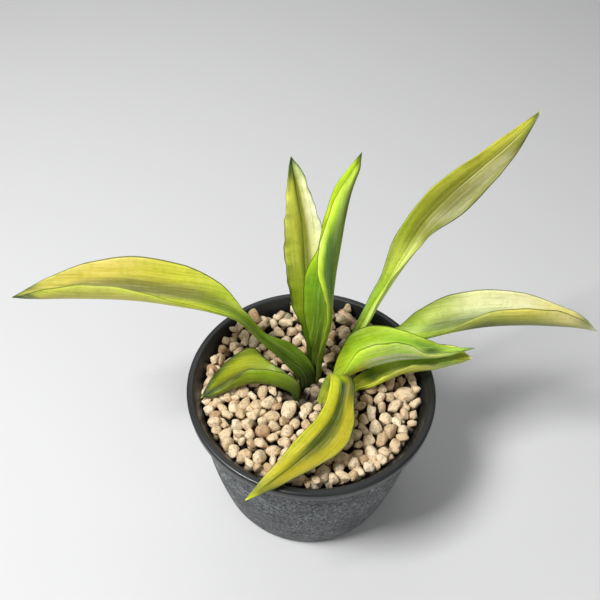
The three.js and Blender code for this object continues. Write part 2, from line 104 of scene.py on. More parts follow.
class Wiring:
    """Adds nodes to one tree and joins them."""

    def __init__(self, tree: bpy.types.NodeTree) -> None:
        """Starts on an empty tree."""
        self.tree = tree
        self.placed = 0

    def add(self, kind: str, inputs: dict | None = None, **settings: Any) -> bpy.types.Node:
        """Adds one node.

        Args:
            kind: The node's Blender type.
            inputs: Socket name or number to a value, or to an output socket that feeds it.
            settings: The node's own properties.

        Returns:
            The new node.
        """
        node = self.tree.nodes.new(kind)
        node.location = (180 * (self.placed % 12), -260 * (self.placed // 12))
        self.placed += 1
        for name, value in settings.items():
            setattr(node, name, value)
        for name, value in (inputs or {}).items():
            socket = node.inputs[name]
            if isinstance(value, Socket):
                self.tree.links.new(value, socket)
            else:
                socket.default_value = value
        return node

    def maths(self, operation: str, *values: Any) -> Socket:
        """One Math node's result.

        Args:
            operation: What the node does.
            values: Numbers or sockets, in order.

        Returns:
            The node's output.
        """
        node = self.add("ShaderNodeMath", dict(enumerate(values)), operation=operation)
        return node.outputs[0]

    def times(self, first: Any, second: Any) -> Socket:
        """First times second."""
        return self.maths("MULTIPLY", first, second)

    def plus(self, first: Any, second: Any) -> Socket:
        """First plus second."""
        return self.maths("ADD", first, second)

    def minus(self, first: Any, second: Any) -> Socket:
        """First minus second."""
        return self.maths("SUBTRACT", first, second)

    def raised(self, value: Any, gain: float, base: float) -> Socket:
        """A value times a gain, on top of a base."""
        return self.plus(self.times(value, gain), base)

    def darkened(self, share: Any, colour: Any, tint: Colour) -> Socket:
        """A colour multiplied by a tint, as far as the share says."""
        return self.mix(share, colour, self.mix(1.0, colour, tint, "MULTIPLY"))

    def stretched(self, vector: Any, place: Triple, scale: Triple) -> Socket:
        """A vector moved and scaled, for a pattern that is longer one way."""
        inputs = {"Vector": vector, "Location": place, "Scale": scale}
        return self.add("ShaderNodeMapping", inputs).outputs[0]

    def mix(self, share: Any, first: Any, second: Any, blend: str = "MIX") -> Socket:
        """One colour mixed from two.

        Args:
            share: How much of the second colour there is.
            first: A colour or a socket.
            second: A colour or a socket.
            blend: How they are mixed.

        Returns:
            The mixed colour.
        """
        node = self.add("ShaderNodeMix", {0: share, 6: first, 7: second}, data_type="RGBA", blend_type=blend)
        return node.outputs[2]

    def span(self, value: Any, low: float, high: float, start: float = 0, end: float = 1) -> Socket:
        """A value stretched smoothly from one range to another.

        Args:
            value: The value that comes in.
            low: What becomes start.
            high: What becomes end.
            start: The low end of the result.
            end: The high end of the result.

        Returns:
            The stretched value.
        """
        names = {"Value": value, "From Min": low, "From Max": high, "To Min": start, "To Max": end}
        return self.add("ShaderNodeMapRange", names, interpolation_type="SMOOTHSTEP").outputs[0]

    def ramp(self, value: Any, stops: Sequence[tuple[float, tuple]]) -> Socket:
        """Colours along a value.

        Args:
            value: What picks the colour, from 0 to 1.
            stops: Places and colours, in order.

        Returns:
            The picked colour.
        """
        node = self.add("ShaderNodeValToRGB", {0: value})
        elements = node.color_ramp.elements
        while len(elements) < len(stops):
            elements.new(0.5)
        while len(elements) > len(stops):
            elements.remove(elements[-1])
        for element, (place, colour) in zip(elements, stops):
            element.position = place
            element.color = colour
        return node.outputs[0]

    def noise(self, vector: Any, scale: float, detail: float, rough: float, bend: float = 0) -> Socket:
        """A soft random pattern.

        Args:
            vector: Where it is read.
            scale: How fine it is.
            detail: How many finer layers it has.
            rough: How strong those layers are.
            bend: How far it is twisted.

        Returns:
            The pattern from 0 to 1.
        """
        inputs = {"Vector": vector, "Scale": scale, "Detail": detail, "Roughness": rough, "Distortion": bend}
        return self.add("ShaderNodeTexNoise", inputs).outputs[0]


def new_group(name: str, inputs: dict[str, Any], outputs: dict[str, str]) -> tuple[Any, Wiring, Any, dict]:
    """An empty shader node group.

    Args:
        name: The group's name.
        inputs: Input name to a default number, or to a socket type's name.
        outputs: Output name to a socket type's name.

    Returns:
        The group, its wiring, its input node and its outputs' sockets by name.
    """
    tree = bpy.data.node_groups.new(name, "ShaderNodeTree")
    for label, value in inputs.items():
        kind = value if isinstance(value, str) else "NodeSocketFloat"
        socket = tree.interface.new_socket(label, in_out="INPUT", socket_type=kind)
        if not isinstance(value, str):
            socket.default_value = value
    for label, kind in outputs.items():
        tree.interface.new_socket(label, in_out="OUTPUT", socket_type=kind)
    wiring = Wiring(tree)
    source = wiring.add("NodeGroupInput")
    target = wiring.add("NodeGroupOutput")
    return tree, wiring, source, {label: target.inputs[label] for label in outputs}


class Groups:
    """The shader node groups that several finishes share."""

    def __init__(self) -> None:
        """Builds every group once."""
        self.speckle = self.make_speckle()
        self.relief = self.make_relief()

    @staticmethod
    def make_speckle() -> bpy.types.NodeTree:
        """Small round specks on a surface, out as a mask.

        Returns:
            The group.
        """
        inputs = {"Vector": "NodeSocketVector", "Scale": 600.0, "Size": 0.25, "Share": 0.4}
        tree, wire, source, out = new_group("speckle", inputs, {"Mask": "NodeSocketFloat"})
        cells = wire.add("ShaderNodeTexVoronoi", {"Vector": source.outputs[0], "Scale": source.outputs[1]})
        near = wire.minus(source.outputs[2], cells.outputs["Distance"])
        near = wire.times(near, 9.0)
        split = wire.add("ShaderNodeSeparateColor", {0: cells.outputs["Color"]})
        chosen = wire.maths("LESS_THAN", split.outputs[0], source.outputs[3])
        mask = wire.add("ShaderNodeClamp", {0: wire.times(near, chosen)})
        tree.links.new(mask.outputs[0], out["Mask"])
        return tree

    @staticmethod
    def make_relief() -> bpy.types.NodeTree:
        """Coarse and fine unevenness of a moulded or natural surface, out as a height.

        Returns:
            The group.
        """
        inputs = {"Vector": "NodeSocketVector", "Coarse": 200.0, "Fine": 1400.0, "Fine Share": 0.4}
        tree, wire, source, out = new_group("relief", inputs, {"Height": "NodeSocketFloat"})
        coarse = wire.add("ShaderNodeTexNoise", {"Vector": source.outputs[0], "Scale": source.outputs[1]})
        fine = wire.add("ShaderNodeTexNoise", {"Vector": source.outputs[0], "Scale": source.outputs[2]})
        fine.inputs["Detail"].default_value = 4
        part = wire.times(fine.outputs[0], source.outputs[3])
        tree.links.new(wire.plus(coarse.outputs[0], part), out["Height"])
        return tree


class Draft:
    """A material in the making, with one Principled BSDF."""

    def __init__(self, name: str, groups: Groups) -> None:
        """Opens the material.

        Args:
            name: The material's name.
            groups: The shared node groups.
        """
        self.groups = groups
        self.material = bpy.data.materials.new(name)
        self.material.use_nodes = True
        self.material.node_tree.nodes.clear()
        self.wire = Wiring(self.material.node_tree)
        self.shader = self.wire.add("ShaderNodeBsdfPrincipled")
        self.wire.add("ShaderNodeOutputMaterial", {0: self.shader.outputs[0]})
        self.place = self.wire.add("ShaderNodeTexCoord").outputs["Object"]

    def group(self, tree: bpy.types.NodeTree, **inputs: Any) -> Socket:
        """Places a shared group and gives its first output.

        Args:
            tree: The group.
            inputs: Its inputs; an underscore stands for a space.

        Returns:
            The group's first output.
        """
        named = {name.replace("_", " "): value for name, value in inputs.items()}
        node = self.wire.add("ShaderNodeGroup", node_tree=tree)
        for name, value in named.items():
            if isinstance(value, Socket):
                self.wire.tree.links.new(value, node.inputs[name])
            else:
                node.inputs[name].default_value = value
        return node.outputs[0]

    def relief(self, coarse: float, fine: float, share: float) -> Socket:
        """The shared unevenness at two scales, as a height."""
        return self.group(self.groups.relief, Vector=self.place, Coarse=coarse, Fine=fine, Fine_Share=share)

    def speckle(self, scale: float, size: float, share: float) -> Socket:
        """The shared round specks, as a mask."""
        return self.group(self.groups.speckle, Vector=self.place, Scale=scale, Size=size, Share=share)

    def feed(self, name: str, value: Any) -> None:
        """Sets or links one of the shader's sockets.

        Args:
            name: The socket's name.
            value: A value, or an output socket that feeds it.
        """
        socket = self.shader.inputs[name]
        if isinstance(value, Socket):
            self.wire.tree.links.new(value, socket)
        else:
            socket.default_value = value

    def bump(self, height: Socket, depth: float, strength: float = 1.0) -> None:
        """Raises the surface's shading by a height.

        Args:
            height: The pattern.
            depth: How high it stands, in metres.
            strength: How much of it shows.
        """
        inputs = {"Height": height, "Distance": depth, "Strength": strength}
        self.feed("Normal", self.wire.add("ShaderNodeBump", inputs).outputs[0])


# ---------- meshes ----------


def make_object(name: str, points: np.ndarray, faces: Sequence[Sequence[int]]) -> bpy.types.Object:
    """A smooth mesh object in the scene, with its faces turned out.

    Args:
        name: The piece's name.
        points: Vertices in metres.
        faces: Vertex numbers of each face.

    Returns:
        The new object.
    """
    mesh = bpy.data.meshes.new(name)
    mesh.from_pydata([tuple(map(float, point)) for point in points], [], [tuple(face) for face in faces])
    mesh.update()
    if signed_volume(mesh) < 0:
        mesh.flip_normals()
    mesh.polygons.foreach_set("use_smooth", [True] * len(mesh.polygons))
    thing = bpy.data.objects.new(name, mesh)
    bpy.context.scene.collection.objects.link(thing)
    return thing


def vertex_points(mesh: bpy.types.Mesh) -> np.ndarray:
    """A mesh's vertices.

    Args:
        mesh: The mesh.

    Returns:
        The vertices, one to a row.
    """
    points = np.zeros(len(mesh.vertices) * 3, np.float32)
    mesh.vertices.foreach_get("co", points)
    return points.reshape(-1, 3).astype(float)


def signed_volume(mesh: bpy.types.Mesh) -> float:
    """Six times the volume of a closed mesh.

    Args:
        mesh: The mesh.

    Returns:
        The sixfold volume, below zero when the mesh is inside out.
    """
    mesh.calc_loop_triangles()
    points = vertex_points(mesh)
    corners = np.array([triangle.vertices for triangle in mesh.loop_triangles])
    first, second, third = (points[corners[:, i]] for i in range(3))
    return float(np.einsum("ij,ij->i", first, np.cross(second, third)).sum())


def ring_faces(rings: int, count: int, closed: bool = False) -> list[tuple[int, ...]]:
    """Quads between rings of vertices.

    Args:
        rings: How many rings there are.
        count: Vertices in each ring.
        closed: True when the last ring meets the first.

    Returns:
        The faces.
    """
    faces = []
    for i in range(rings if closed else rings - 1):
        for j in range(count):
            low, high = i * count, ((i + 1) % rings) * count
            after = (j + 1) % count
            faces.append((low + j, low + after, high + after, high + j))
    return faces


def dress(piece: bpy.types.Object, material: bpy.types.Material, nodes: Iterable[str]) -> None:
    """Gives a new piece its material in a slot, if it has none, and its body, and hides the CAD nodes that it
    stands for.

    Args:
        piece: The finished piece.
        material: Its finish.
        nodes: The CAD nodes that it replaces.
    """
    if not piece.data.materials:
        piece.data.materials.append(material)
    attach(piece, ROOT)
    named = list(nodes)
    if named:
        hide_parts(*named)
    log.info("%s: %d faces", piece.name, len(piece.data.polygons))


def set_floats(mesh: bpy.types.Mesh, name: str, values: np.ndarray) -> None:
    """Stores one number for each vertex under a name."""
    attribute = mesh.attributes.new(name, "FLOAT", "POINT")
    attribute.data.foreach_set("value", values.astype(np.float32))


# ---------- sizes taken from the frame ----------


@dataclass(frozen=True)
class Datum:
    """Where the pot and its filling stand, in metres."""

    rim_radius: float
    height: float
    bed_top: float
    scale: float

    @classmethod
    def from_frame(cls) -> "Datum":
        """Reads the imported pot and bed.

        Returns:
            Their sizes.
        """
        low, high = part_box("pot")
        radius = (high.x - low.x) / 2
        return cls(radius, high.z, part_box("pumice_bed")[1].z, radius / DRAWN_RIM)


# ---------- pot ----------


@dataclass
class Pot:
    """The moulded pot, turned about the upright axis."""

    datum: Datum
    groups: Groups
    base_radius: float = 53 * MM
    wall: float = 1.7 * MM
    rim_band: float = 6.5 * MM
    lip_width: float = 3.6 * MM
    bulge: float = 2.6 * MM
    floor: float = 3 * MM
    # How far down from the rim band the side is painted dark and unworn, as painted shadow under the rim.
    under_rim_shade: float = 7.6 * MM
    top_share: float = 0.915
    foot_round: float = 2.2 * MM
    floor_round: float = 1.5 * MM
    lip_round: float = 1.5 * MM
    side_steps: int = 26
    inner_steps: int = 18
    drain_radius: float = 3.5 * MM
    drain_count: int = 6
    drain_share: float = 0.6
    drain_sides: int = 28
    segments: int = 180

    @property
    def under(self) -> float:
        """Height of the rim band's lower edge."""
        return self.datum.height - self.rim_band

    def side(self, height: float) -> float:
        """Outside radius of the side.

        Args:
            height: Height above the ground.

        Returns:
            The radius there.
        """
        share = height / self.under
        top = self.datum.rim_radius * self.top_share
        return self.base_radius + (top - self.base_radius) * share + self.bulge * 4 * share * (1 - share)

    def inside(self, height: float) -> float:
        """Inside radius.

        Args:
            height: Height above the ground.

        Returns:
            The radius there.
        """
        if height <= self.under:
            return self.side(height) - self.wall
        share = (height - self.under) / self.rim_band
        low = self.side(self.under) - self.wall
        return low + (self.datum.rim_radius - self.lip_width - low) * share

    def profile(self) -> list[tuple[float, float]]:
        """The pot's outline from the floor's middle underneath to the floor's middle on top.

        Returns:
            Radius and height of each point.
        """
        radius, top = self.datum.rim_radius, self.datum.height
        outline = [(self.base_radius * share, 0.0) for share in (0.0, 0.25, 0.45, 0.75, 0.93)]
        foot = self.foot_round
        outline += arc((self.base_radius - foot, foot), foot, -90, -8, 5)
        low, high = foot + 0.4 * MM, self.under - 0.6 * MM
        heights = [low + (high - low) * i / (self.side_steps - 1) for i in range(1, self.side_steps)]
        outline += [(self.side(height), height) for height in heights]
        outline.append((self.side(self.under) + 0.35 * MM, self.under - 0.1 * MM))
        outline += arc((radius - 1.3 * MM, self.under + 0.9 * MM), 0.9 * MM, -90, -8, 5)
        outline.append((radius - 0.12 * MM, top - 3.2 * MM))
        outline += arc((radius - self.lip_round, top - self.lip_round), self.lip_round, 0, 90, 7)
        outline.append((radius - 2.4 * MM, top - 0.12 * MM))
        outline += arc((radius - self.lip_width + 0.5 * MM, top - 1.1 * MM), 1.0 * MM, 80, 150, 5)
        bend = self.floor_round
        start, drop = top - 2 * MM, top - 2 * MM - self.floor - bend
        heights = [start - drop * i / (self.inner_steps - 1) for i in range(self.inner_steps)]
        outline += [(self.inside(height), height) for height in heights]
        inner = self.inside(self.floor)
        outline += arc((inner - bend, self.floor + bend), bend, 0, -90, 4)
        outline += [(inner * share, self.floor) for share in (0.75, 0.45, 0.25, 0.0)]
        return outline

    def build(self) -> bpy.types.Object:
        """The pot's mesh, with its drain holes cut.

        Returns:
            The pot.
        """
        outline = self.profile()
        turns = np.linspace(0, 2 * math.pi, self.segments, endpoint=False)
        body = outline[1:-1]
        points = [(r * math.cos(turn), r * math.sin(turn), z) for r, z in body for turn in turns]
        faces = ring_faces(len(body), self.segments)
        foot, floor = len(points), len(points) + 1
        points += [(0, 0, outline[0][1]), (0, 0, outline[-1][1])]
        last = (len(body) - 1) * self.segments
        for j in range(self.segments):
            after = (j + 1) % self.segments
            faces.append((foot, after, j))
            faces.append((floor, last + j, last + after))
        pot = make_object("pot_shell", np.array(points), faces)
        self.drill(pot)
        dress(pot, CharcoalPlastic(self.groups, self).material(), ["pot"])
        return pot

    def drill(self, pot: bpy.types.Object) -> None:
        """Cuts the drain holes through the floor.

        Args:
            pot: The undrilled pot.
        """
        sides = self.drain_sides
        ring = [(math.cos(a), math.sin(a)) for a in np.linspace(0, 2 * math.pi, sides, endpoint=False)]
        levels = (-2 * MM, 2 * self.floor)
        ends = [tuple(reversed(range(sides))), tuple(range(sides, 2 * sides))]
        reach = self.base_radius * self.drain_share
        for i in range(self.drain_count):
            turn = 2 * math.pi * i / self.drain_count
            middle = np.array((reach * math.cos(turn), reach * math.sin(turn), 0))
            size = np.array((self.drain_radius, self.drain_radius, 1))
            points = middle + size * np.array([(x, y, z) for z in levels for x, y in ring])
            drill = make_object(f"drill_{i}", points, ring_faces(2, sides) + ends)
            cut = pot.modifiers.new("drain", "BOOLEAN")
            cut.object = drill
            cut.solver = "EXACT"
            bake_modifiers(pot)
            bpy.data.objects.remove(drill)


@dataclass(frozen=True)
class CharcoalPlastic:
    """The pot's plastic: satin on the rim, mottled with pale wear on the side, with painted shadow under the
    rim as a dark unworn strip in the rim's satin tones.
    """

    groups: Groups
    pot: Pot
    cloud: Grain = (55, 3, 0.5)
    threads: Grain = (250.0, 7.0, 0.72)
    thread_bend: float = 0.9
    thread_range: Range = (0.031, 0.004, 0, 1)
    patches: Grain = (460, 5, 0.7)
    patch_range: Range = (0.53, 0.62, 0, 0.8)
    thinning: Range = (0.32, 0.6, 0.45, 1)
    wear_strength: float = 0.85
    under_rim_shade_fade: float = 1.2 * MM
    wall_range: Range = (-1.2 * MM, -0.6 * MM, 0, 1)
    relief: Grain = (300.0, 1600.0, 0.3)
    # The smooth tones colour the rim and the inside, and also paint the shadow on the strip under the rim.
    smooth_tones: tuple[Colour, Colour] = (dye(23, 25, 26), dye(35, 37, 37))
    rough_tones: tuple[Colour, Colour] = (dye(27, 31, 33), dye(45, 50, 52))
    wear_tone: Colour = dye(178, 183, 184)
    relief_depth: float = 0.00016

    def mottled_zone(self, draft: Draft) -> Socket:
        """Masks the outside of the side, up to the strip of painted shadow under the rim.

        Args:
            draft: The material in the making.

        Returns:
            The mask.
        """
        wire, pot = draft.wire, self.pot
        axes = wire.add("ShaderNodeSeparateXYZ", {0: draft.place}).outputs
        radius = wire.maths("SQRT", wire.plus(wire.times(axes[0], axes[0]), wire.times(axes[1], axes[1])))
        # Above this height the side keeps the rim's dark satin tones, as painted shadow under the rim.
        under_rim_shade_foot = pot.under - pot.under_rim_shade
        below = wire.span(axes[2], under_rim_shade_foot - self.under_rim_shade_fade, under_rim_shade_foot, 1, 0)
        share = wire.maths("DIVIDE", axes[2], pot.under)
        swell = 4 * pot.bulge
        widening = pot.side(pot.under) - pot.base_radius + swell
        outline = wire.times(wire.minus(widening, wire.times(share, swell)), share)
        depth = wire.minus(wire.minus(radius, outline), pot.base_radius)
        return wire.times(below, wire.span(depth, *self.wall_range))

    def wear(self, draft: Draft, cloud: Socket) -> Socket:
        """Pale threads and patches, thinner in some places than in others.

        Args:
            draft: The material in the making.
            cloud: Where the wear is strong.

        Returns:
            The wear from 0 to 1.
        """
        wire = draft.wire
        threads = wire.noise(draft.place, *self.threads, bend=self.thread_bend)
        threads = wire.span(wire.maths("ABSOLUTE", wire.minus(threads, 0.5)), *self.thread_range)
        patches = wire.span(wire.noise(draft.place, *self.patches), *self.patch_range)
        return wire.times(wire.maths("MAXIMUM", threads, patches), wire.span(cloud, *self.thinning))

    def material(self) -> bpy.types.Material:
        """Makes the material.

        Returns:
            The material.
        """
        draft = Draft("charcoal_pot", self.groups)
        wire = draft.wire
        cloud = wire.noise(draft.place, *self.cloud)
        zone = self.mottled_zone(draft)
        worn = self.wear(draft, cloud)
        mottle = wire.times(worn, zone)
        pairs = (self.smooth_tones, self.rough_tones)
        smooth, rough = (wire.ramp(cloud, [(0.3, dark), (0.7, light)]) for dark, light in pairs)
        # The zone leaves out the strip under the rim, so the smooth tones paint the shadow there.
        base = wire.mix(zone, smooth, rough)
        draft.feed("Base Color", wire.mix(wire.times(mottle, self.wear_strength), base, self.wear_tone))
        draft.feed("Roughness", wire.plus(wire.raised(zone, 0.24, 0.34), wire.times(worn, 0.08)))
        fine = draft.relief(*self.relief)
        draft.bump(wire.plus(wire.times(mottle, 1.2), wire.times(fine, 0.35)), self.relief_depth, 0.8)
        return draft.material


def arc(centre: tuple[float, float], radius: float, start: float, end: float, steps: int) -> list:
    """Points along an arc in radius and height.

    Args:
        centre: The arc's middle.
        radius: Its radius.
        start: Where it begins, in degrees.
        end: Where it ends, in degrees.
        steps: How many points it has.

    Returns:
        The points.
    """
    angles = np.radians(np.linspace(start, end, steps))
    return [(centre[0] + radius * math.cos(a), centre[1] + radius * math.sin(a)) for a in angles]


def bake_modifiers(thing: bpy.types.Object) -> None:
    """Turns an object's modifiers into its own plain mesh.

    Args:
        thing: The object, which keeps no modifier.
    """
    graph = bpy.context.evaluated_depsgraph_get()
    mesh = bpy.data.meshes.new_from_object(thing.evaluated_get(graph))
    thing.modifiers.clear()
    thing.data = mesh


# ---------- leaves ----------


@dataclass(frozen=True)
class Band:
    """Colours across a leaf at one place along it.

    across runs from -1 at the left margin, over 0 at the fold, to 1 at the right margin.
    """

    along: float
    stops: tuple[tuple[float, Triple], ...]


@dataclass(frozen=True)
class Row:
    """One station of a leaf in millimetres, at the size of a pot with a 70 mm rim."""

    at: Triple
    left: Triple
    right: Triple


def bands(*rows: tuple) -> tuple[Band, ...]:
    """Makes a leaf's bands.

    Args:
        rows: Each starts with the place along, then place across and colour in turn.

    Returns:
        The bands, from the base to the tip.
    """
    made = []
    for along, *rest in rows:
        pairs = tuple((rest[i], rest[i + 1]) for i in range(0, len(rest), 2))
        made.append(Band(along, pairs))
    return tuple(made)


DEEP = (42, 58, 16)
FOREST = (64, 90, 22)
MOSS = (86, 100, 34)
GRASS = (106, 142, 26)
LIME = (158, 190, 50)
BRIGHT = (186, 220, 72)
PALE_LIME = (200, 224, 118)
OLIVE = (114, 118, 40)
YELLOW = (222, 212, 72)
LEMON = (238, 232, 58)
SAND = (224, 214, 140)
CREAM = (236, 231, 178)
IVORY = (248, 247, 212)
SAGE = (142, 160, 106)
HUSK = (196, 203, 160)

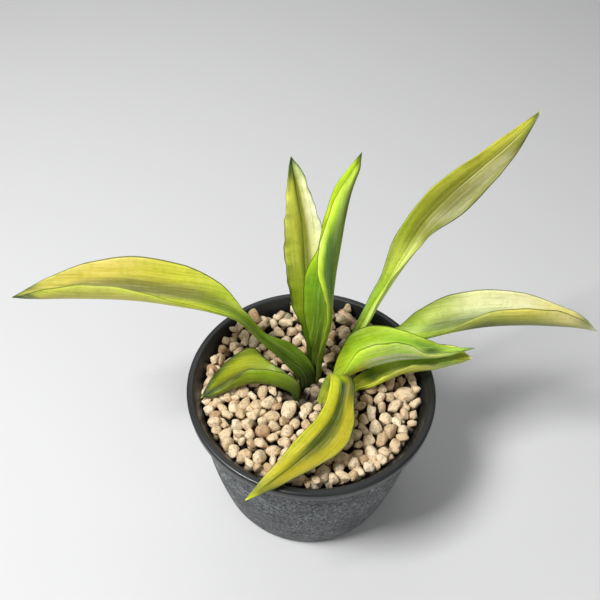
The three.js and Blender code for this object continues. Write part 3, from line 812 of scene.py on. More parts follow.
LEAF_COLOURS = {
    "leaf_left_long": bands(
        (0.0, 0, DEEP),
        (0.2, -1, FOREST, 0, (66, 88, 20), 1, (104, 134, 34)),
        (0.36, -1, (120, 140, 44), 0, (80, 106, 18), 0.5, (104, 126, 26), 1, (126, 144, 40)),
        (0.46, -1, (176, 190, 74), -0.3, (150, 166, 50), 0, (96, 116, 24), 0.35, (112, 124, 30),
         0.7, (160, 172, 46), 1, (176, 186, 60)),
        (0.6, -1, (206, 212, 66), -0.4, (206, 206, 76), 0, (166, 170, 50), 0.2, (104, 104, 26),
         0.42, (120, 118, 32), 0.62, (190, 184, 58), 1, (212, 206, 92)),
        (0.76, -1, (222, 224, 92), -0.6, (226, 216, 84), 0, (212, 200, 72), 0.2, (110, 104, 26),
         0.38, (128, 120, 34), 0.56, (208, 188, 72), 1, (232, 210, 110)),
        (0.88, -1, (196, 198, 62), -0.4, (216, 206, 80), 0.05, (140, 132, 40), 0.34, (150, 142, 42),
         0.5, (208, 192, 78), 1, (216, 202, 100)),
        (0.95, -1, MOSS, 0, (122, 126, 40), 0.5, (176, 166, 66), 1, (96, 108, 40)),
        (0.985, 0, (58, 80, 34)),
        (0.998, 0, (214, 216, 190)),
    ),
    "leaf_left_short": bands(
        (0.0, 0, DEEP),
        (0.14, -1, MOSS, 0, FOREST, 1, MOSS),
        (0.35, -1, (150, 174, 50), -0.5, (128, 152, 40), 0, (96, 106, 32), 0.3, (158, 164, 52),
         0.8, (184, 192, 44), 0.93, (150, 160, 38), 1, DEEP),
        (0.6, -1, DEEP, -0.88, (160, 178, 66), -0.3, (142, 158, 48), 0, (92, 92, 32), 0.15, (168, 164, 52),
         0.32, (112, 108, 30), 0.5, (196, 190, 36), 0.72, (206, 206, 34), 0.92, (132, 142, 30), 1, DEEP),
        (0.84, -1, FOREST, -0.86, (180, 190, 120), -0.7, (120, 138, 56), -0.3, (138, 146, 66),
         0, (96, 96, 44), 0.3, (76, 88, 26), 0.6, (176, 180, 40), 0.86, MOSS, 1, DEEP),
        (0.95, -1, DEEP, 0, (56, 72, 30), 1, DEEP),
        (0.997, 0, (206, 206, 168)),
    ),
    "leaf_back_upright": bands(
        (0.0, 0, FOREST),
        (0.2, -1, DEEP, -0.7, GRASS, 0, FOREST, 1, GRASS),
        (0.36, -1, DEEP, -0.8, (142, 160, 38), -0.3, (150, 164, 44), 0, GRASS, 1, LIME),
        (0.55, -1, DEEP, -0.9, (206, 210, 84), -0.4, (196, 200, 70), -0.1, (112, 118, 28),
         0.2, (128, 134, 40), 0.42, (226, 226, 148), 1, IVORY),
        (0.7, -1, (196, 204, 84), -0.85, (230, 230, 106), -0.35, (186, 184, 60), -0.05, (102, 108, 24),
         0.18, (146, 146, 52), 0.42, CREAM, 0.8, IVORY, 1, IVORY),
        (0.85, -1, (210, 216, 90), -0.6, (222, 220, 92), -0.14, (120, 122, 30), 0.18, (106, 110, 24),
         0.4, (206, 204, 120), 0.7, IVORY, 0.9, (236, 238, 176), 1, FOREST),
        (0.93, -1, (88, 108, 30), 0, (96, 114, 40), 0.6, (196, 206, 140), 0.86, (176, 196, 120), 1, FOREST),
        (0.97, 0, (44, 74, 34)),
        (0.998, 0, (200, 206, 180)),
    ),
    "leaf_centre_upright": bands(
        (0.0, 0, DEEP),
        (0.15, -1, FOREST, 0, DEEP, 1, FOREST),
        (0.3, -1, GRASS, -0.4, (72, 108, 16), 0, (96, 124, 26), 0.4, (92, 118, 26), 0.7, FOREST, 1, LIME),
        (0.45, -1, (118, 164, 20), -0.5, (94, 144, 12), -0.1, (86, 122, 30), 0.1, (104, 150, 66),
         0.4, (52, 84, 42), 0.72, (58, 92, 44), 0.86, LIME, 1, BRIGHT),
        (0.6, -1, LIME, -0.6, (110, 158, 18), -0.1, (84, 124, 52), 0.12, (112, 148, 96), 0.4, (56, 88, 50),
         0.7, (62, 98, 46), 0.86, BRIGHT, 1, PALE_LIME),
        (0.75, -1, BRIGHT, -0.6, (142, 182, 28), -0.2, (120, 156, 52), 0.1, (74, 104, 60),
         0.4, (100, 132, 84), 0.72, (110, 154, 50), 0.88, BRIGHT, 1, LIME),
        (0.88, -1, (192, 214, 84), -0.4, (142, 170, 28), 0, (96, 116, 50), 0.5, (180, 206, 84),
         1, (110, 124, 34)),
        (0.95, -1, FOREST, 0, (92, 124, 40), 1, FOREST),
        (0.985, 0, (52, 78, 36)),
        (0.998, 0, (220, 222, 200)),
    ),
    "leaf_right_upright": bands(
        (0.0, 0, GRASS),
        (0.15, -1, (130, 156, 36), 0, LIME, 1, (172, 206, 58)),
        (0.3, -1, (150, 190, 82), -0.3, (164, 198, 50), 0.2, (186, 218, 70), 0.7, PALE_LIME, 1, LIME),
        (0.45, -1, (166, 190, 80), -0.5, (200, 218, 84), 0, (190, 208, 94), 0.3, (150, 172, 70),
         0.5, (206, 218, 116), 1, (168, 190, 60)),
        (0.58, -1, (206, 222, 78), -0.6, (196, 206, 66), -0.3, (146, 152, 48), -0.05, (160, 164, 70),
         0.2, (200, 202, 104), 0.6, (214, 214, 124), 0.9, (170, 186, 84), 1, (206, 216, 104)),
        (0.72, -1, (226, 230, 90), -0.7, (218, 216, 80), -0.35, (142, 142, 48), -0.1, (150, 148, 62),
         0.2, (206, 200, 122), 0.5, (190, 186, 110), 0.75, (224, 222, 156), 1, (212, 212, 120)),
        (0.86, -1, (232, 230, 96), -0.6, (222, 214, 92), -0.25, (150, 146, 54), 0.1, (176, 170, 92),
         0.5, (214, 206, 138), 0.85, (190, 186, 96), 1, (218, 214, 108)),
        (0.95, -1, YELLOW, 0, (196, 196, 86), 1, MOSS),
        (0.985, 0, (104, 118, 54)),
        (0.998, 0, (216, 216, 190)),
    ),
    "leaf_right_long": bands(
        (0.0, 0, GRASS),
        (0.2, -1, LIME, 0, BRIGHT, 1, (176, 208, 66)),
        (0.35, -1, (150, 174, 42), 0, (146, 174, 44), 1, GRASS),
        (0.46, -1, (140, 156, 56), -0.6, (186, 198, 108), -0.25, (98, 112, 44), 0, (120, 138, 54),
         0.5, (168, 178, 70), 1, (186, 202, 92)),
        (0.58, -1, (226, 226, 164), -0.5, (220, 224, 170), -0.22, (112, 130, 84), 0, (124, 136, 70),
         0.4, (96, 106, 34), 0.7, (150, 160, 54), 1, (206, 208, 98)),
        (0.7, -1, CREAM, -0.5, (236, 234, 192), -0.24, (170, 180, 126), 0, (112, 126, 74),
         0.3, (124, 136, 58), 0.6, (178, 180, 58), 1, (230, 222, 100)),
        (0.84, -1, (236, 230, 160), -0.4, (228, 220, 126), -0.1, (150, 158, 90), 0.05, (118, 128, 74),
         0.3, (170, 166, 92), 0.6, (236, 226, 136), 1, SAND),
        (0.93, -1, (130, 134, 84), 0, (206, 204, 146), 1, (168, 174, 104)),
        (0.985, 0, (222, 224, 200)),
    ),
    "leaf_right_folded": bands(
        (0.0, 0, LIME),
        (0.16, -1, (170, 196, 44), 0, (132, 154, 36), 1, (160, 184, 52)),
        (0.3, -1, (120, 162, 22), -0.6, (150, 190, 34), -0.3, (176, 212, 56), 0, (130, 150, 50),
         0.4, (150, 174, 64), 0.8, LIME, 1, (142, 176, 50)),
        (0.45, -1, LIME, -0.6, (150, 188, 40), -0.25, PALE_LIME, 0, (124, 144, 70), 0.2, (130, 150, 92),
         0.31, (216, 224, 184), 0.4, (122, 142, 84), 0.53, HUSK, 0.66, (134, 160, 70), 0.85, (178, 208, 76),
         0.94, BRIGHT, 1, LIME),
        (0.62, -1, BRIGHT, -0.6, (132, 178, 38), -0.3, (192, 224, 92), 0, (126, 148, 90),
         0.2, (112, 132, 76), 0.32, (214, 222, 184), 0.42, (110, 132, 76), 0.54, (196, 208, 160),
         0.68, (130, 156, 66), 0.86, (196, 226, 92), 1, (166, 202, 70)),
        # The dark green at -0.3 here is painted shade where the fold closes near the tip.
        (0.78, -1, LIME, -0.6, (96, 136, 34), -0.3, (44, 74, 18), 0, (104, 124, 70), 0.2, (198, 208, 162),
         0.45, (118, 140, 80), 0.8, (186, 212, 104), 1, SAGE),
        (0.92, -1, (120, 156, 50), 0, (148, 176, 84), 1, (110, 130, 60)),
        (0.98, 0, (84, 108, 52)),
        (0.998, 0, (200, 204, 170)),
    ),
    "leaf_right_lower": bands(
        (0.0, 0, OLIVE),
        (0.15, -1, (146, 158, 52), 0, MOSS, 1, (112, 118, 42)),
        (0.3, -1, FOREST, -0.4, DEEP, 0, (78, 88, 20), 0.4, (150, 160, 70), 0.7, (126, 138, 44),
         1, (172, 190, 70)),
        (0.5, -1, (98, 120, 44), -0.5, (104, 116, 32), 0, (124, 134, 46), 0.2, (186, 192, 116),
         0.36, (110, 118, 40), 0.6, (140, 150, 56), 0.9, (170, 180, 84), 1, DEEP),
        (0.7, -1, (176, 198, 100), -0.5, (84, 118, 38), -0.1, (70, 84, 26), 0.15, HUSK,
         0.34, (112, 124, 54), 0.7, (172, 184, 96), 1, DEEP),
        (0.85, -1, (186, 208, 88), -0.5, DEEP, 0, SAGE, 1, FOREST),
        (0.96, 0, MOSS),
        (0.998, 0, (180, 184, 150)),
    ),
    "leaf_front_yellow": bands(
        (0.0, 0, CREAM),
        (0.12, -1, (216, 220, 96), 0, (234, 234, 150), 1, (238, 235, 170)),
        (0.25, -1, (214, 214, 60), 0, (236, 234, 84), 1, (226, 228, 112)),
        (0.34, -1, DEEP, -0.7, (122, 126, 32), -0.3, (200, 198, 48), 0, (234, 228, 56), 0.6, (218, 216, 62),
         1, YELLOW),
        (0.42, -1, FOREST, -0.75, (116, 120, 28), -0.42, (170, 164, 32), -0.2, (80, 92, 20),
         0.12, (62, 76, 14), 0.34, (206, 200, 38), 0.6, LEMON, 1, LEMON),
        (0.55, -1, (84, 96, 22), -0.9, (206, 200, 50), -0.48, (212, 202, 44), -0.3, (84, 94, 20),
         -0.05, (42, 58, 8), 0.22, (62, 76, 12), 0.44, (196, 192, 32), 0.75, LEMON, 0.95, (232, 228, 60),
         1, FOREST),
        (0.7, -1, (120, 122, 36), -0.88, (222, 212, 54), -0.48, (216, 206, 48), -0.3, (96, 102, 22),
         -0.05, (44, 58, 8), 0.24, (66, 78, 14), 0.46, (204, 198, 36), 0.8, (242, 236, 66),
         1, (226, 222, 62)),
        (0.85, -1, (160, 158, 60), -0.7, (214, 202, 64), -0.3, (136, 134, 34), 0, (72, 82, 18),
         0.3, (130, 132, 26), 0.56, (226, 218, 58), 1, (226, 218, 90)),
        (0.95, -1, MOSS, 0, (120, 126, 52), 1, (164, 172, 80)),
        (0.985, 0, (150, 168, 70)),
        (0.998, 0, (224, 226, 196)),
    ),
}


BRIGHTEST = 252
FOLD_BLEND = 0.15
OCHRE_RED = 150
OCHRE_BLUE = 130
OCHRE_WARMTH = 0.93


@dataclass(frozen=True)
class LightAndToneGain:
    """A change of tone on one stretch of a leaf, as gains on its red, green and blue: partly a change of the
    leaf's own tone, partly painted light and shade that brightens stretches the lamps leave in shade and
    darkens sides they light.

    With a second set of gains, the first is for the left of the fold and the second for its right.
    """

    left: Triple
    right: Triple | None = None
    along: tuple[float, float] = (0, 1)
    across: tuple[float, float] = (-1, 1)
    ochre_only: bool = False

    def covers(self, along: float, across: float, colour: Triple) -> bool:
        """Whether the gain lies on a place.

        Args:
            along: The place along the leaf.
            across: The place across it.
            colour: The colour there.

        Returns:
            True where it does.
        """
        red, green, blue = colour
        ochre = red > OCHRE_RED and red / green > OCHRE_WARMTH and blue < OCHRE_BLUE
        inside = self.along[0] <= along <= self.along[1] and self.across[0] <= across <= self.across[1]
        return inside and (ochre or not self.ochre_only)

    def gains(self, across: float) -> Triple:
        """The gains at a place across the leaf.

        Args:
            across: The place.

        Returns:
            The gains on red, green and blue.
        """
        if self.right is None:
            return self.left
        share = (across + 1) / 2 if abs(across) < FOLD_BLEND else float(across >= 0)
        return tuple(a * (1 - share) + b * share for a, b in zip(self.left, self.right))


LEFT_SIDE = (-1, 0.15)
RIGHT_SIDE = (0.16, 1)
RIGHT_FLANK = (0.11, 1)
RIGHT_MARGIN = (0.41, 1)
LEFT_MARGIN = (-1, -0.41)
COOLER = LightAndToneGain((0.87, 0.98, 1.1), ochre_only=True)

# Rounds of gains on each leaf, in turn, partly painted light and shade on its lit and shaded stretches. In a
# round, a place takes the first gain that covers it.
LEAF_LIGHT_AND_TONE_GAINS = {
    "leaf_left_long": (
        (LightAndToneGain((0.95, 0.98, 0.5), along=(0, 0.29)), LightAndToneGain((0.98, 1, 1), (0.94, 0.96, 0.93))),
        (LightAndToneGain((1, 1, 0.85)),),
        (LightAndToneGain((1, 1, 1.2), along=(0.71, 1)), LightAndToneGain((1.06, 1.06, 1.02))),
        (LightAndToneGain((1.06, 1.06, 1.03), along=(0.21, 0.44)),),
    ),
    "leaf_left_short": (
        (LightAndToneGain((0.9, 0.94, 0.65), (0.8, 0.84, 0.62)),),
        (LightAndToneGain((1, 1, 0.85)),),
        (LightAndToneGain((1.02, 1.02, 0.86)),),
    ),
    "leaf_back_upright": (
        (LightAndToneGain((0.98, 0.98, 0.95), along=(0.51, 1)), LightAndToneGain((1, 1, 0.7))),
        (
            LightAndToneGain((1.16, 1.14, 1), along=(0, 0.34)),
            LightAndToneGain((1.11, 1.12, 1.15), across=(-1, 0.09)),
        ),
    ),
    "leaf_centre_upright": (
        (LightAndToneGain((1.08, 1.05, 0.5), (1.2, 1.13, 0.85)),),
        (LightAndToneGain((1, 1, 0.6), across=LEFT_SIDE), LightAndToneGain((1.13, 1.08, 1.05))),
        (LightAndToneGain((1.02, 1, 0.6), across=LEFT_SIDE), LightAndToneGain((1.15, 1.13, 1.12))),
        (COOLER, LightAndToneGain((1.08, 1.07, 1.1), across=RIGHT_SIDE)),
    ),
    # Painted light and shade: the right half is darkened where the lamps light it, and the left half is
    # lightened where they leave it in shade.
    "leaf_right_upright": (
        (LightAndToneGain((0.89, 0.91, 0.78), (0.76, 0.77, 0.68), along=(0.51, 1)), LightAndToneGain((1.04, 1, 1.1))),
        (LightAndToneGain((0.86, 0.86, 0.8), along=(0.51, 1), across=RIGHT_SIDE),),
        (
            LightAndToneGain((1.12, 1.12, 1.02), along=(0.451, 1), across=LEFT_SIDE),
            LightAndToneGain((0.97, 0.97, 0.9), along=(0.451, 1)),
            LightAndToneGain((1.1, 1.09, 1.2)),
        ),
    ),
    "leaf_right_long": (
        (LightAndToneGain((1.06, 1.05, 1.06)),),
    ),
    "leaf_right_folded": (
        (LightAndToneGain((1.1, 1.04, 1.05), (1.22, 1.22, 1.05), along=(0, 0.89)), LightAndToneGain((1.12, 1.1, 0.9))),
        (
            LightAndToneGain((1.09, 1.1, 1.08), along=(0, 0.89), across=RIGHT_FLANK),
            LightAndToneGain((1.06, 1.06, 0.95), along=(0.9, 1)),
        ),
        (LightAndToneGain((1.12, 1.14, 1.1), along=(0, 0.89), across=RIGHT_FLANK), LightAndToneGain((1.01, 1.01, 1.05))),
        (COOLER, LightAndToneGain((1.05, 1.08, 1.05), across=RIGHT_FLANK)),
    ),
    "leaf_right_lower": (
        (LightAndToneGain((1.22, 1.2, 0.92)),),
        (LightAndToneGain((1.12, 1.08, 1.02)),),
        (LightAndToneGain((1.22, 1.22, 1.2)),),
        (COOLER, LightAndToneGain((1.07, 1.07, 1.1))),
        (LightAndToneGain((1.13, 1.06, 1.05)),),
    ),
    "leaf_front_yellow": (
        (
            LightAndToneGain((0.75, 0.84, 0.5), along=(0.21, 0.49), across=(-0.29, 0.29)),
            LightAndToneGain((0.9, 0.89, 0.9), across=RIGHT_MARGIN),
            LightAndToneGain((1, 1, 0.85)),
        ),
        (
            LightAndToneGain((0.8, 0.88, 0.5), along=(0.21, 0.49), across=(-0.29, 0.29)),
            LightAndToneGain((0.9, 0.9, 0.9), along=(0.21, 0.49)),
            LightAndToneGain((0.87, 0.86, 0.95), across=RIGHT_MARGIN),
            LightAndToneGain((0.97, 0.97, 1), along=(0, 0.94), across=LEFT_MARGIN),
            LightAndToneGain((1.14, 1.1, 0.8)),
        ),
        (
            LightAndToneGain((0.85, 0.92, 0.5), along=(0, 0.29)),
            # Painted light: the right margin is lightened where the lamps leave it in shade.
            LightAndToneGain((1.3, 1.3, 0.9), across=RIGHT_MARGIN),
            LightAndToneGain((0.85, 0.84, 0.9), across=LEFT_MARGIN),
            LightAndToneGain((1.04, 1.02, 0.7)),
        ),
        (
            LightAndToneGain((0.82, 0.9, 0.5), along=(0.21, 0.49), across=(-0.34, 0.34)),
            LightAndToneGain((1.08, 1.09, 0.95), across=RIGHT_MARGIN),
            LightAndToneGain((0.95, 0.94, 0.9), across=LEFT_MARGIN),
        ),
        (LightAndToneGain((0.87, 0.87, 1.25), across=RIGHT_MARGIN),),
    ),
}


def with_light_and_tone_gains(leaf: str, along: float, across: float, colour: Triple) -> Triple:
    """A leaf's colour at one place after its rounds of gains, which partly paint light and shade.

    Args:
        leaf: The leaf's name.
        along: The place along it.
        across: The place across it.
        colour: The colour before the gains, from 0 to 255.

    Returns:
        The colour as it looks in the end, in whole steps.
    """
    # Each coat here is one round of gains, partly painted light and shade.
    for coat in LEAF_LIGHT_AND_TONE_GAINS[leaf]:
        chosen_gain = next((one for one in coat if one.covers(along, across, colour)), LightAndToneGain((1, 1, 1)))
        pairs = zip(colour, chosen_gain.gains(across))
        colour = tuple(round(min(BRIGHTEST, channel * gain)) for channel, gain in pairs)
    return colour

LEAF_ROWS = {
    "leaf_left_long": (
        Row((-1, 4, -12), (-4, -3, 0), (3.5, 3, 0)),
        Row((-5, 6, 9), (-3, -5, 1), (6, 4, 0)),
        Row((-15, 8, 20), (-1, -5, 1), (4, 5, 4)),
        Row((-28, 9, 33), (-1, -3, 2), (1, 3, 2)),
        Row((-40, 10, 48), (0, -4, 3), (2, 4, 2)),
        Row((-53, 11, 54), (0, -6, 4), (3, 11, 7)),
        Row((-71, 12, 56), (2, -7, 8), (2.5, 14, 14)),
        Row((-97, 13, 57.5), (4, -7, 13.5), (2.5, 14, 17)),
        Row((-123, 14, 56), (6, -7, 17), (2, 12, 13.5)),
        Row((-146, 15, 53.5), (4.5, -4, 9.5), (1.5, 6, 7)),
        Row((-162.5, 16, 51), (0, 0, 0), (0, 0, 0)),
    ),
    "leaf_left_short": (
        Row((-8, -3, -11), (2, -2.5, 0), (-1, 3, 0)),
        Row((-11, -3, 1), (3, -0.5, 12), (-1, 5, 7)),
        Row((-24.5, 0, 4.5), (1, 0, 13), (-1, 12, 6)),
        Row((-34.5, 0, 4.5), (0, 0, 12.5), (-1, 17, 11)),
        Row((-44, -3.3, 4.2), (1.5, -1, 10), (-3, 13, 9)),
        Row((-53, -8, 4.4), (2, -0.5, 5), (-3, 7, 5)),
        Row((-61.5, -12, 4.6), (0, 0, 0), (0, 0, 0)),
    ),
    "leaf_back_upright": (
        Row((-1, 20, -11), (-2.5, -1.5, 0), (2.5, -1.5, 0)),
        Row((-0.5, 20, 11), (-2.5, -2, 1), (3, -2, 1)),
        Row((-2, 22, 27), (-4, -3, 2.5), (5, -3, 3)),
        Row((-3.7, 26, 43), (-9, -4, 4.5), (8, -4, 5)),
        Row((-5.4, 31, 59), (-10, -5, 4.5), (9.5, -5, 5)),
        Row((-6.8, 35, 74.5), (-10.5, -5, 4), (10.5, -5, 5)),
        Row((-8.4, 40, 89), (-9, -5, 4), (9.5, -5, 5)),
        Row((-11, 44, 102), (-6, -4, 1.5), (7, -4, 4)),
        Row((-13.5, 48, 113), (-3, -3, 2), (5.5, -3, 3)),
        Row((-15.3, 50, 124.4), (0, 0, 0), (0, 0, 0)),
    ),
    "leaf_centre_upright": (
        Row((5, 10, -11), (-2, 3, 0), (-1.5, -3, 0)),
        Row((4.5, 9, 12), (-3, 4, 0), (-2, -3, 2)),
        Row((6, 9, 29.5), (-8, 5, -2), (-2.5, -4, 4)),
        Row((7.6, 11, 48), (-13, 7, -6), (-1.5, -7, 8.5)),
        Row((8.3, 14, 64.5), (-15, 7, -5), (-5, -7, 8)),
        Row((9.5, 17, 78), (-15, 7, -7), (-10, -6, 7.5)),
        Row((10.7, 20, 94), (-10.5, 8, -8), (-10.5, -5, 3)),
        Row((11.9, 23, 109.5), (-9.5, 6, -5), (-9, -4, 0)),
        Row((13.7, 26, 123.5), (-7.5, 4, -2.5), (-6, -2, -0.5)),
        Row((16.6, 29, 135), (-3.5, 2, -1), (-2.5, -1, -0.5)),
        Row((17.6, 30, 142.4), (0, 0, 0), (0, 0, 0)),
    ),
    "leaf_right_upright": (
        Row((14, 19, -11), (-2.5, 1, 0), (2, -2.5, 0)),
        Row((19, 18, 11), (-2.5, 1, 0), (2.5, -2.5, 2)),
        Row((25, 20, 29.5), (-3, 0, 1.5), (2.5, -4, 5)),
        Row((32.3, 25, 47), (-4.5, -1, 0.5), (1, -7, 10)),
        Row((40.6, 31, 63), (-6.5, -3, 3.5), (0, -8, 8)),
        Row((47.6, 37, 78), (-10, -4, 5), (2.5, -8, 6)),
        Row((54.3, 42, 92), (-10.5, -4, 4), (4.5, -8, 0)),
        Row((64.5, 47, 105), (-12.5, -4, 4), (9, -8, -2)),
        Row((80, 53, 120), (-14, -4, 0.5), (7.5, -7, 0)),
        Row((93.8, 58, 134), (-10, -2, -1.5), (2.5, -4, -3)),
        Row((104.1, 62, 147.6), (0, 0, 0), (0, 0, 0)),
    ),
    "leaf_right_long": (
        Row((24, 15, -11), (-0.5, 2.5, 0), (0.5, -2.5, 0)),
        Row((26, 17, 7), (-1, 3, 0), (1.5, -2.5, 0)),
        Row((32, 19.5, 18), (-1.5, 3.5, 1.5), (1, -3.5, 1)),
        Row((49.3, 22, 22.5), (-1, 6, 3), (1.5, -4.5, 1)),
        Row((63.2, 21.5, 27), (-5, 10, 8.5), (2, -5.5, 5.5)),
        Row((78.7, 21, 33.2), (-4, 12, 15), (-1.5, -7, 11.5)),
        Row((96, 20.5, 38.3), (-3, 11, 16.5), (-5, -7, 17.5)),
        Row((115.6, 20, 41), (-3, 8, 16), (-6.5, -7, 20)),
        Row((134, 21, 40), (-3, 4, 12), (-6.5, -6, 17.5)),
        Row((147, 21.5, 38.7), (-1.5, 2.5, 7), (-4, -3.5, 10)),
        Row((158.4, 22, 34.5), (0, 0, 0), (0, 0, 0)),
    ),
    "leaf_right_folded": (
        Row((14, 6, -11), (-1, 2.5, 0), (1, -2.5, 0)),
        Row((15.5, 5, 2), (-3, 3, 3), (0, -2.5, 2)),
        Row((21, 3, 12), (-6, 7, 10), (-3, -4, 10)),
        Row((28.5, 2, 19), (-8.5, 11, 16), (-4, -5, 22)),
        Row((37, 3, 22.5), (-8.5, 13, 16), (-4, -5, 23)),
        Row((46.5, 5, 24), (-7, 13, 13), (-3.5, -5, 21)),
        Row((56.6, 7, 24), (-5, 11, 9), (-4, -5, 16)),
        Row((66.7, 8.5, 24.2), (-3, 7.5, 5), (-3, -3.5, 6)),
        Row((77.2, 10, 25.2), (-1.5, 3.5, 1.5), (-2, -1.5, 2.5)),
        Row((89.8, 11, 29.5), (0, 0, 0), (0, 0, 0)),
    ),
    "leaf_right_lower": (
        Row((24, 4, -11), (-0.5, 2, 0), (0.5, -2, 0)),
        Row((27, 3, -1), (-3, 4, 3), (0.5, -2, 2)),
        Row((33, 1, 5), (-4, 6, 4), (0.5, -2.5, 4)),
        Row((40.4, 0.5, 11.8), (-4.5, 8, 1.5), (-0.5, -3, 7)),
        Row((49, 3, 15.5), (-4, 10, 0), (-1, -4, 9)),
        Row((59.2, 6, 15), (-2.5, 12, 0.5), (-1, -5, 11)),
        Row((69.3, 8, 15), (-0.5, 12, 5), (-2, -5, 10)),
        Row((79.5, 10, 17), (0, 8, 5.5), (-1.5, -3, 6)),
        Row((90.4, 12, 19), (0, 0, 0), (0, 0, 0)),
    ),
    "leaf_front_yellow": (
        Row((6, -7, -11), (2.5, 0.5, 0), (-3, 0.5, 0)),
        Row((7.5, -6, 2), (3, 0.5, 0), (-3.5, 0.5, 0)),
        Row((10, -5, 11), (3.5, 1, 1), (-4, 1, 0.5)),
        Row((13.5, -4, 18), (4.5, 0.5, 2.5), (-4.5, 0.5, 2)),
        Row((16.5, -10.5, 21), (6, -1.5, 3.5), (-7, -1.5, 3)),
        Row((15.7, -19, 17), (6.5, -3.5, 5), (-8, -2.5, 4)),
        Row((12.5, -29.7, 14), (9.5, -5.5, 7), (-9.5, -1, 5)),
        Row((4.5, -41.3, 11.7), (13.5, -6.5, 7.5), (-11, -1, 5.5)),
        Row((-6, -52.6, 11), (11.5, -4.5, 6), (-9.5, -1.5, 4)),
        Row((-18, -64, 10.8), (4.5, -3, 2), (-5.5, 0, 2)),
        Row((-31.5, -75.4, 11), (0, 0, 0), (0, 0, 0)),
    ),
}


@dataclass(frozen=True)
class LeafHabit:
    """How one leaf's surface grows: the waves of its margins and the places of its random patterns."""

    ripple: float
    wavelength: float
    seed: float


LEAF_HABITS = {
    "leaf_left_long": LeafHabit(0.35, 46, 1),
    "leaf_left_short": LeafHabit(0.4, 22, 2),
    "leaf_back_upright": LeafHabit(0.5, 17, 3),
    "leaf_centre_upright": LeafHabit(0.4, 26, 4),
    "leaf_right_upright": LeafHabit(0.35, 40, 5),
    "leaf_right_long": LeafHabit(0.3, 38, 6),
    "leaf_right_folded": LeafHabit(0.35, 24, 7),
    "leaf_right_lower": LeafHabit(0.4, 21, 8),
    "leaf_front_yellow": LeafHabit(0.35, 30, 9),
}


def through(points: np.ndarray, places: np.ndarray) -> np.ndarray:
    """A centripetal Catmull-Rom curve through points.

    Args:
        points: The stations, one to a row.
        places: Places from 0 to 1 where the curve is read; the stations are evenly spread over them.

    Returns:
        The curve's points.
    """
    ends = np.vstack([2 * points[:1] - points[1:2], points, 2 * points[-1:] - points[-2:-1]])
    spot = places * (len(points) - 1)
    low = np.minimum(spot.astype(int), len(points) - 2)
    weight = (spot - low)[:, None]
    before, start, end, after = (ends[low + k] for k in range(4))
    gaps = [np.linalg.norm(b - a, axis=1) ** 0.5 for a, b in ((before, start), (start, end), (end, after))]
    middle = np.where(gaps[1] < 1e-4, 1.0, gaps[1])[:, None]
    first = np.where(gaps[0] < 1e-4, middle[:, 0], gaps[0])[:, None]
    last = np.where(gaps[2] < 1e-4, middle[:, 0], gaps[2])[:, None]
    leave = (start - before) / first - (end - before) / (first + middle) + (end - start) / middle
    arrive = (end - start) / middle - (after - start) / (middle + last) + (after - end) / last
    leave, arrive = leave * middle, arrive * middle
    square = 3 * (end - start) - 2 * leave - arrive
    cube = 2 * (start - end) + leave + arrive
    return start + leave * weight + square * weight**2 + cube * weight**3


def unit(vectors: np.ndarray) -> np.ndarray:
    """Vectors cut to a length of 1."""
    return vectors / np.maximum(np.linalg.norm(vectors, axis=-1, keepdims=True), 1e-9)


